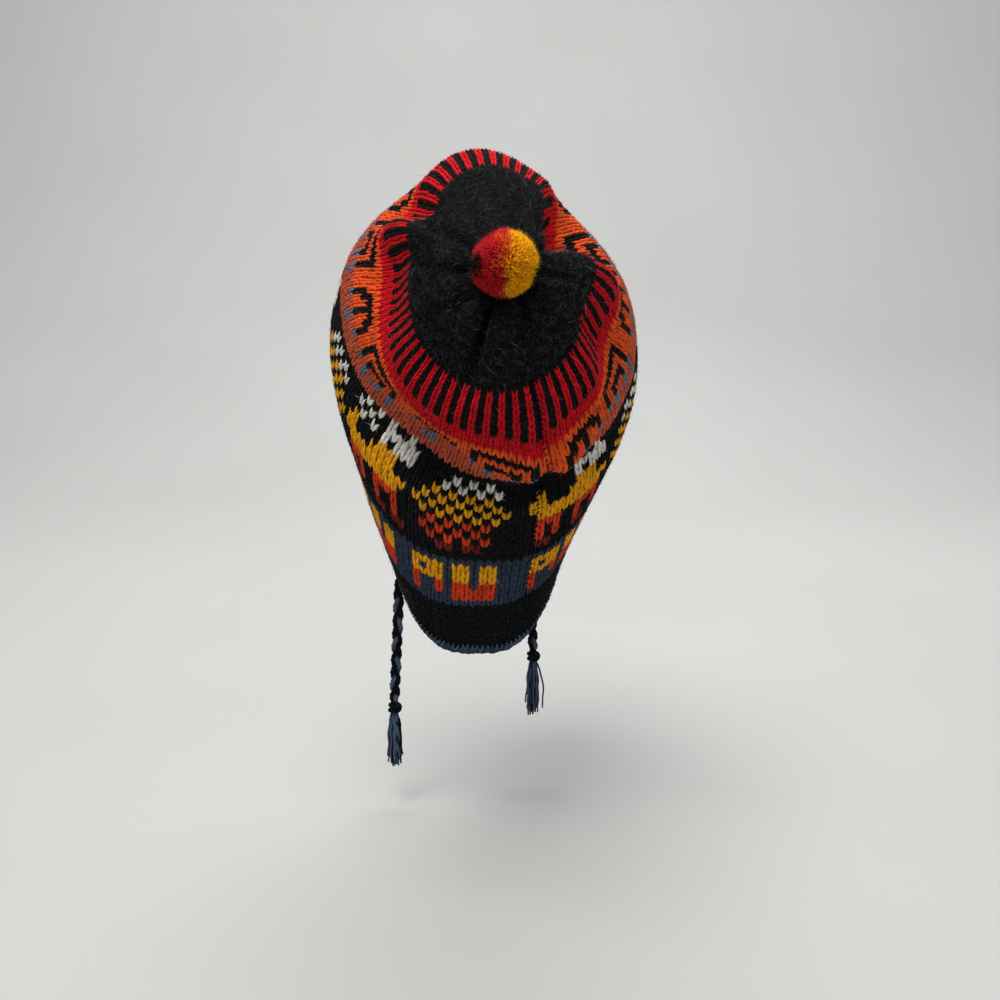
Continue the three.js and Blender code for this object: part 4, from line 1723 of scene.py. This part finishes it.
@dataclass
class Pompom:
    """A ball of cut yarn ends, wound in sectors of three colours and a little black.

    Radii, bends and the way that an end stays clear of the crown are in millimetres. The other sizes are
    shares of the ball's radius or of a direction's length. The red is in linear light. The colours' bounds
    are places in a ball of radius 1: how far right and how high. Each wave of the split has a size, a rate
    over the height and a phase.
    """

    fabric: Fabric
    ends: int = 4600
    core_share: float = 0.72
    core_painted_shade: float = 0.6
    uneven_dye: float = 0.1
    end_radius: float = 0.58
    end_bend: float = 0.9
    end_spread: float = 0.035
    plain_reach: float = 0.99
    lump: float = 0.06
    uneven_cut: float = 0.012
    wisps: int = 6000
    wisp_radius: float = 0.08
    wisp_bend: float = 1.2
    wisp_spread: float = 0.16
    wisp_root: float = 0.85
    wisp_reach: tuple[float, float] = (1.0, 1.09)
    clear: float = 0.6
    crown_low: float = 46
    red: tuple[float, float, float] = (0.56, 0.012, 0.022)
    split_right: float = 0.08
    split_lean: float = 0.12
    split_waves: tuple[tuple[float, float, float], ...] = ((0.09, 6, 2.4), (0.05, 15, 0))
    blend: tuple[float, float] = (-0.36, 0.02)
    blend_low: float = -0.15
    cap_low: float = 0.84
    cap_right: float = 0.14
    wedge_right: float = -0.72
    wedge_middle: float = -0.06
    wedge_half: float = 0.34

    def centre(self) -> Array:
        """Returns the ball's middle: off the seat along the crown's axis, and sagging a little."""
        off_seat = self.fabric.axis * POMPOM_RADIUS * POMPOM_DEPTH
        return self.fabric.seat + off_seat - np.array([0, 0, POMPOM_SAG])

    def directions(self, count: int) -> Array:
        """Spreads directions evenly over a sphere, each turned from the last by the golden angle.

        Args:
            count: how many.
        Returns:
            The directions, from the top down.
        """
        height = 1 - 2 * (np.arange(count) + 0.5) / count
        turn = np.arange(count) * np.pi * (3 - math.sqrt(5))
        radius = np.sqrt(1 - height**2)
        return np.stack([radius * np.cos(turn), radius * np.sin(turn), height], axis=1)

    def dye_at(self, way: Array, rng: np.random.Generator) -> Array:
        """Picks each end's colour from the side of the ball that it comes out of.

        Seen from behind, a wavy line that leans a little splits yellow at the right from red at the left
        and on top, where the red is drawn a tenth lighter as a painted highlight. Orange lies along its upper
        half, and a small black wedge at the left.

        Args:
            way: N directions.
            rng: for the loose edges between the colours.
        Returns:
            N colours.
        """
        loose = way + rng.normal(0, self.end_spread, way.shape)
        right, high = loose[:, 0], loose[:, 2]
        red = np.array(self.red)
        split = right - self.split_right - self.split_lean * high
        for size, rate, phase in self.split_waves:
            split = split + size * np.sin(rate * high + phase)
        colours = np.where((split > 0)[:, None], Dye.PLUME_YELLOW.linear(), red)
        blend = (split > self.blend[0]) & (split < self.blend[1]) & (high > self.blend_low)
        colours = np.where(blend[:, None], Dye.ORANGE.linear() * 0.9, colours)
        # The top: red, and lightened by a tenth as a painted highlight
        cap = (high > self.cap_low) & (split < self.cap_right)
        colours = np.where(cap[:, None], red * 1.1, colours)
        wedge = (right < self.wedge_right) & (np.abs(high - self.wedge_middle) < self.wedge_half)
        return np.where(wedge[:, None], Dye.CHARCOAL.linear() * 0.7, colours)

    def outline(self, way: Array) -> Array:
        """The ball's outline: its plain reach plus each dent's depth times a hump of the angle from it.

        Args:
            way: N directions.
        Returns:
            The reach each way, as a share of the ball's radius.
        """
        reach = np.full(len(way), self.plain_reach)
        for dent in POMPOM_DENTS:
            apart = np.degrees(np.arccos(np.clip(way @ unit(np.array(dent.way)), -1, 1)))
            reach = reach + dent.depth * bump(apart / dent.half_angle)
        return reach

    def clear_of_crown(self, centre: Array, way: Array, reach: Array) -> Array:
        """Shortens each end so that it stops at the crown's face.

        Args:
            centre: the ball's middle.
            way: N directions.
            reach: N lengths.
        Returns:
            The lengths, each the largest of eight shares whose point is outside the crown, or 0.
        """
        angle, row = np.meshgrid(np.arange(-180, 180, 4.0), np.arange(self.crown_low, SEAT_ROW + 0.1, 1.0))
        face, normal = self.fabric.at(angle.ravel(), row.ravel())
        kept = np.zeros(len(way))
        for share in np.linspace(0.3, 1, 8):
            point = centre + way * (reach * share)[:, None]
            gap = ((point[:, None, :] - face[None]) ** 2).sum(axis=2)
            near = gap.argmin(axis=1)
            above = ((point - face[near]) * normal[near]).sum(axis=1)
            kept = np.where(above > self.clear * MM, reach * share, kept)
        return kept

    def paths(self, way: Array, root: float, reach: Array, side: Array, stations: tuple[float, ...]) -> Array:
        """Carries yarn out of the ball: straight each way, and aside by the square of the share travelled.

        Args:
            way: N directions.
            root: how far from the ball's middle they start.
            reach: how far from it each of them ends.
            side: how far aside each has bent at its end, N by 3.
            stations: the shares of the way where each has its points.
        Returns:
            N by K by 3, for K stations.
        """
        t = np.array(stations)[None, :]
        straight = self.centre() + way[:, None, :] * (root + (reach[:, None] - root) * t)[..., None]
        return straight + side[:, None, :] * (t**2)[..., None]

    def build(self) -> bpy.types.Object:
        """Makes the ball: tapered yarn ends from a core in painted shade, and finer wisps between them.

        The ends' reach has lumps: products of two sines of the direction.

        Returns:
            The pompom.
        """
        rng = np.random.default_rng(61)
        centre = self.centre()
        way = unit(self.directions(self.ends) + rng.normal(0, self.end_spread, (self.ends, 3)))
        x, y, z = way.T
        lumps = self.lump * np.sin(11 * x + 8 * z) * np.sin(9 * y - 7 * z + 2)
        reach = self.outline(way) + lumps + rng.normal(0, self.uneven_cut, self.ends)
        reach = self.clear_of_crown(centre, way, POMPOM_RADIUS * reach)
        keep = reach > POMPOM_RADIUS * self.core_share
        way, reach = way[keep], reach[keep]
        colours = shade_each(rng, self.dye_at(way, rng), self.uneven_dye)
        lean = np.array([0.2, 0.3, 1.0])
        side = np.cross(way, rng.normal(0, 1, way.shape)) * self.end_bend * MM
        path = self.paths(way, POMPOM_RADIUS * (self.core_share - 0.1), reach, side, (0.0, 0.0, 0.75, 1.0))
        girth = np.array([0, 0.9, 1.0, 0]) * self.end_radius * MM * rng.uniform(0.85, 1.2, (len(way), 1))
        ends = spindles(path, lean, girth, girth, 5, colours)
        pick = rng.integers(0, len(way), self.wisps)
        way = unit(way[pick] + rng.normal(0, self.wisp_spread, (self.wisps, 3)))
        tip = reach[pick] * rng.uniform(*self.wisp_reach, self.wisps)
        side = np.cross(way, rng.normal(0, 1, way.shape)) * self.wisp_bend * MM
        path = self.paths(way, POMPOM_RADIUS * self.wisp_root, tip, side, (0.0, 0.4, 1.0))
        thin = np.array([0, self.wisp_radius, 0]) * MM
        # Painted sheen: the wisps are drawn a quarter lighter than the ends that they come from
        wisps = spindles(path, lean, thin, thin, 3, np.clip(colours[pick] * 1.25, 0, 1))
        ball = Shape.joined([self.core(centre), ends, wisps]).to_object("pompom_yarn", POMPOM_WOOL)
        return dress(ball, "pompom")

    def core(self, centre: Array) -> Shape:
        """The bound heart of the ball, a closed sphere of rings, in its own colours darkened as painted
        shade.

        Args:
            centre: the ball's middle.
        Returns:
            The sphere.
        """
        t = np.linspace(0, np.pi, 19)
        radius = POMPOM_RADIUS * self.core_share * 0.97
        path = centre + np.stack([0 * t, 0 * t, -np.cos(t) * radius], axis=1)
        girth = np.sin(t) * radius
        way = np.stack([0 * t, -np.sin(t), -np.cos(t)], axis=1)
        # Painted shade: the core between the ends is drawn at 0.6 of the ends' colours
        colours = self.dye_at(way, np.random.default_rng(62))[None] * self.core_painted_shade
        return spindles(path[None], np.array([0, 1.0, 0]), girth, girth, 28, colours)


@dataclass(frozen=True)
class Fibre:
    """A kind of loose fibre: how many in a piece, its lengths and root radius in millimetres, and its points.

    Stations are the shares of its length where it has points. The last field is how much grey the palest
    have in them: a painted sheen, for the light that loose fibres catch.
    """

    name: str
    count: int
    length: tuple[float, float]
    radius: float
    stations: tuple[float, ...]
    painted_sheen: float


@dataclass
class Fuzz:
    """Loose fibres that stand off the knitting: short spikes, hairs that bend over, and long strays.

    The share crown_share of the fibres grows above crown_row alone, and those below it are shorter, by
    band_nap. They lean along the nap, give or take nap_spread radians, and rise by a share of their length.
    """

    fabric: Fabric
    chart: Chart
    kinds: tuple[Fibre, ...] = (
        Fibre("spikes", 17500, (1.6, 5.0), 0.11, (0.0, 0.35, 1.0), 0.42),
        Fibre("hairs", 4000, (3.0, 7.0), 0.07, (0.0, 0.3, 0.7, 1.0), 0.6),
        Fibre("strays", 300, (8.0, 15.0), 0.06, (0.0, 0.3, 0.7, 1.0), 1.2),
    )
    low_row: float = 0.5
    high_row: float = SEAT_ROW - 2
    crown_row: float = 49.0
    crown_share: float = 0.4
    band_nap: float = 0.6
    nap_spread: float = 0.45
    rise: tuple[float, float] = (0.2, 0.8)
    root_depth: float = 0.5
    tip_radius: float = 0.7
    glow: float = 1.15

    def fibres(self, kind: Fibre, rng: np.random.Generator) -> Shape:
        """Closed three-sided fibres, each leaving the face at a slant.

        At the share t of its length, a fibre has risen by its rise times t times 1.25 less half of t, and has
        gone along the face by t to the power 1.3. Its painted sheen is grey: few have much of it, as the
        share of grey has a power of 5.

        Args:
            kind: what fibres to make.
            rng: for their places and shapes.
        Returns:
            The fibres as one shape.
        """
        count = kind.count
        low = np.where(rng.uniform(0, 1, count) < self.crown_share, self.crown_row, self.low_row)
        row = self.high_row - np.sqrt(rng.uniform(0.0, 1.0, count)) * (self.high_row - low)
        angle = rng.uniform(-180, 180, count)
        place, normal = self.fabric.at(angle, row)
        across = unit(np.cross(normal, np.array([0, 0, 1.0])))
        flow = self.swirl(place) + rng.normal(0, self.nap_spread, count)
        drift = across * np.cos(flow)[:, None] + np.cross(normal, across) * np.sin(flow)[:, None]
        size = rng.uniform(*kind.length, count)[:, None] * MM
        size = size * np.where(row < self.crown_row, self.band_nap, 1.0)[:, None]
        rise = rng.uniform(*self.rise, (count, 1))
        t = np.array(kind.stations)[None, :, None]
        root = place - normal * self.root_depth * MM
        path = root[:, None, :] + normal[:, None, :] * (size * rise)[:, None, :] * t * (1.25 - 0.5 * t)
        path = path + drift[:, None, :] * size[:, None, :] * t**1.3
        # Painted sheen: the fibres take the colour of the stitches under them, lightened by the glow, with
        # grey added
        grey = kind.painted_sheen * rng.uniform(0, 1, (count, 1)) ** 5
        colours = np.clip(self.chart.colour_at(angle, row) * self.glow + Dye.SHEEN_GREY.linear() * grey, 0, 1)
        narrowing = np.linspace(1.0, self.tip_radius, len(kind.stations) - 2)
        girth = np.concatenate([[0], narrowing, [0]]) * kind.radius * MM
        return spindles(path, np.array([0.31, 0.22, 0.93]), girth, girth, 3, colours)

    @staticmethod
    def swirl(place: Array) -> Array:
        """Which way the nap lies, in radians: two sines of the place, with waves of 10 to 12 mm, added up."""
        x, y, z = place.T
        return 2.4 * np.sin(430 * x + 310 * z + 1) + 2.4 * np.sin(520 * z - 380 * y + 2)

    def build(self) -> list[bpy.types.Object]:
        """Makes the fibres as two pieces, which keeps each of them light.

        Returns:
            The two pieces.
        """
        rng = np.random.default_rng(71)
        pieces = []
        for name in ("loose_fibres", "loose_fibres_more"):
            shapes = [self.fibres(kind, rng) for kind in self.kinds]
            piece = Shape.joined(shapes).to_object(name, FUZZ_WOOL)
            pieces.append(dress(piece, "knit_body"))
        return pieces


@dataclass(frozen=True)
class Light:
    """A soft lamp: where it stands, what it looks at, how wide it is and how strong, in metres and watts."""

    name: str
    place: tuple[float, float, float]
    target: tuple[float, float, float]
    size: float
    power: float
    tint: tuple[float, float, float] = (1.0, 1.0, 1.0)


@dataclass
class Studio:
    """The camera, the soft lights and a plain pale floor, with its sizes in metres.

    The picture's width, the focal length and the horizon's row are in pixels.
    """

    camera_place: tuple[float, float, float] = (0.012, -0.775, -0.060)
    picture: float = 1000.0
    focal_pixels: float = 1150.0
    horizon_pixel: float = 287.0
    floor_drop: float = 0.03
    floor_half: float = 12.0
    wall_depth: float = 2.4
    wall_height: float = 5.0
    sweep: float = 1.2
    sweep_steps: int = 33
    floor_roughness: float = 0.8
    floor_waves: float = 3.0
    floor_tones: tuple[tuple[float, ...], ...] = ((0.43, 0.43, 0.42, 1), (0.47, 0.47, 0.46, 1))
    sky_colour: tuple[float, ...] = (0.80, 0.81, 0.82, 1)
    sky_strength: float = 0.42
    lights: tuple[Light, ...] = (
        Light("key", (-0.3, -0.75, 1.45), (0, -0.05, -0.12), 1.0, 34.0, (1.0, 0.99, 0.97)),
        Light("fill", (1.3, -0.9, 0.45), (0, -0.05, -0.15), 1.2, 4.0, (0.97, 0.985, 1.0)),
        Light("back", (0.35, 1.25, 0.9), (0, 0, -0.1), 1.2, 8.0),
        Light("wall_wash", (0.0, 0.9, 2.4), (0, 2.4, 0.9), 1.6, 60.0),
    )

    def camera(self) -> bpy.types.Object:
        """Makes the camera: behind the hat, and tipped down until the horizon is at its row of the picture.

        Returns:
            The scene's camera.
        """
        lens = bpy.data.cameras.new("camera")
        lens.sensor_width = 36.0
        lens.lens = self.focal_pixels / self.picture * lens.sensor_width
        lens.clip_start = 0.01
        camera = bpy.data.objects.new("camera", lens)
        pitch = math.atan((self.picture / 2 - self.horizon_pixel) / self.focal_pixels)
        camera.location = self.camera_place
        camera.rotation_euler = (math.pi / 2 - pitch, 0, 0)
        bpy.context.scene.collection.objects.link(camera)
        bpy.context.scene.camera = camera
        return camera

    def floor(self) -> bpy.types.Object:
        """Makes the floor, a little below the tassels, and its sweep up to a wall behind the hat.

        The sweep is a quarter circle, from the floor's far edge up to the wall's foot.

        Returns:
            The floor, which is stage and no part of the hat.
        """
        low = float(CAD_BOX[0][2]) - self.floor_drop
        turn = np.linspace(0, np.pi / 2, self.sweep_steps)
        depth = np.concatenate([[-self.floor_half], self.wall_depth - self.sweep * (1 - np.sin(turn))])
        rise = np.concatenate([[0], self.sweep * (1 - np.cos(turn))])
        depth, rise = np.append(depth, self.wall_depth), np.append(rise, self.wall_height)
        left = np.stack([np.full(len(depth), -self.floor_half), depth, low + rise], axis=1)
        right = left * np.array([-1, 1, 1])
        index = np.arange(len(depth) - 1)
        faces = np.stack([index, index + len(depth), index + len(depth) + 1, index + 1], axis=1)
        mesh = bpy.data.meshes.new("floor")
        mesh.from_pydata(np.concatenate([left, right]).tolist(), [], faces.tolist())
        mesh.polygons.foreach_set("use_smooth", np.ones(len(faces), dtype=bool))
        mesh.materials.append(self.paint())
        floor = bpy.data.objects.new("floor", mesh)
        bpy.context.scene.collection.objects.link(floor)
        return floor

    def paint(self) -> bpy.types.Material:
        """Makes the floor's finish: pale and matt, with a slow drift of tone.

        Returns:
            The material.
        """
        made = bpy.data.materials.new("pale_floor")
        made.use_nodes = True
        nodes, links = made.node_tree.nodes, made.node_tree.links
        shader = nodes["Principled BSDF"]
        shader.inputs["Roughness"].default_value = self.floor_roughness
        noise = nodes.new("ShaderNodeTexNoise")
        noise.inputs["Scale"].default_value = self.floor_waves
        links.new(nodes.new("ShaderNodeTexCoord").outputs["Object"], noise.inputs["Vector"])
        ramp = nodes.new("ShaderNodeValToRGB")
        for element, tone in zip(ramp.color_ramp.elements, self.floor_tones):
            element.color = tone
        links.new(noise.outputs["Fac"], ramp.inputs["Fac"])
        links.new(ramp.outputs["Color"], shader.inputs["Base Color"])
        return made

    def light(self) -> None:
        """Makes the lamps, each turned to its target, and the pale surroundings."""
        for lamp in self.lights:
            data = bpy.data.lights.new(lamp.name, "AREA")
            data.size = lamp.size
            data.energy = lamp.power
            data.color = lamp.tint
            thing = bpy.data.objects.new(lamp.name, data)
            thing.location = lamp.place
            way = np.array(lamp.target) - np.array(lamp.place)
            tip = math.acos(-way[2] / np.linalg.norm(way))
            thing.rotation_euler = (tip, 0, math.atan2(way[1], way[0]) - math.pi / 2)
            bpy.context.scene.collection.objects.link(thing)
        world = bpy.data.worlds.new("surroundings")
        world.use_nodes = True
        sky = world.node_tree.nodes["Background"]
        sky.inputs["Color"].default_value = self.sky_colour
        sky.inputs["Strength"].default_value = self.sky_strength
        bpy.context.scene.world = world
        bpy.context.scene.view_settings.view_transform = "Standard"


# The middle lines of the ties, given in millimetres
LEFT_ROUTE = (
    (-60.1, 24.3, -265.1), (-60.5, 23.6, -275), (-61.6, 22.6, -298), (-63.2, 22, -327), (-64.9, 22, -356),
)
RIGHT_ROUTE = (
    (44.4, 50.8, -234.8), (42, 53, -248), (38.5, 56.5, -276), (36, 58.6, -304), (37, 59, -329),
)


def main() -> None:
    """Builds the camera, the ties, the hat from its body out and the stage."""
    logging.basicConfig(level=logging.INFO, format="%(message)s")
    studio = Studio()
    studio.camera()
    for tie in (Tie("left", LEFT_ROUTE, (0, 0)), Tie("right", RIGHT_ROUTE, (4.5, 1))):
        tie.build()
        LOG.info("tie_%s: %.1f mm long", tie.side, tie.length() / MM)
    fabric = Fabric()
    chart = Chart()
    KnitBody(fabric, chart).build()
    flaps = (EarFlap(fabric, "left", -90, (-60, 24, -257)), EarFlap(fabric, "right", 104, (45, 50, -227)))
    for flap in flaps:
        flap.build()
    Edging(flaps).build()
    Pompom(fabric).build()
    Fuzz(fabric, chart).build()
    studio.floor()
    studio.light()


if __name__ == "__main__":
    main()
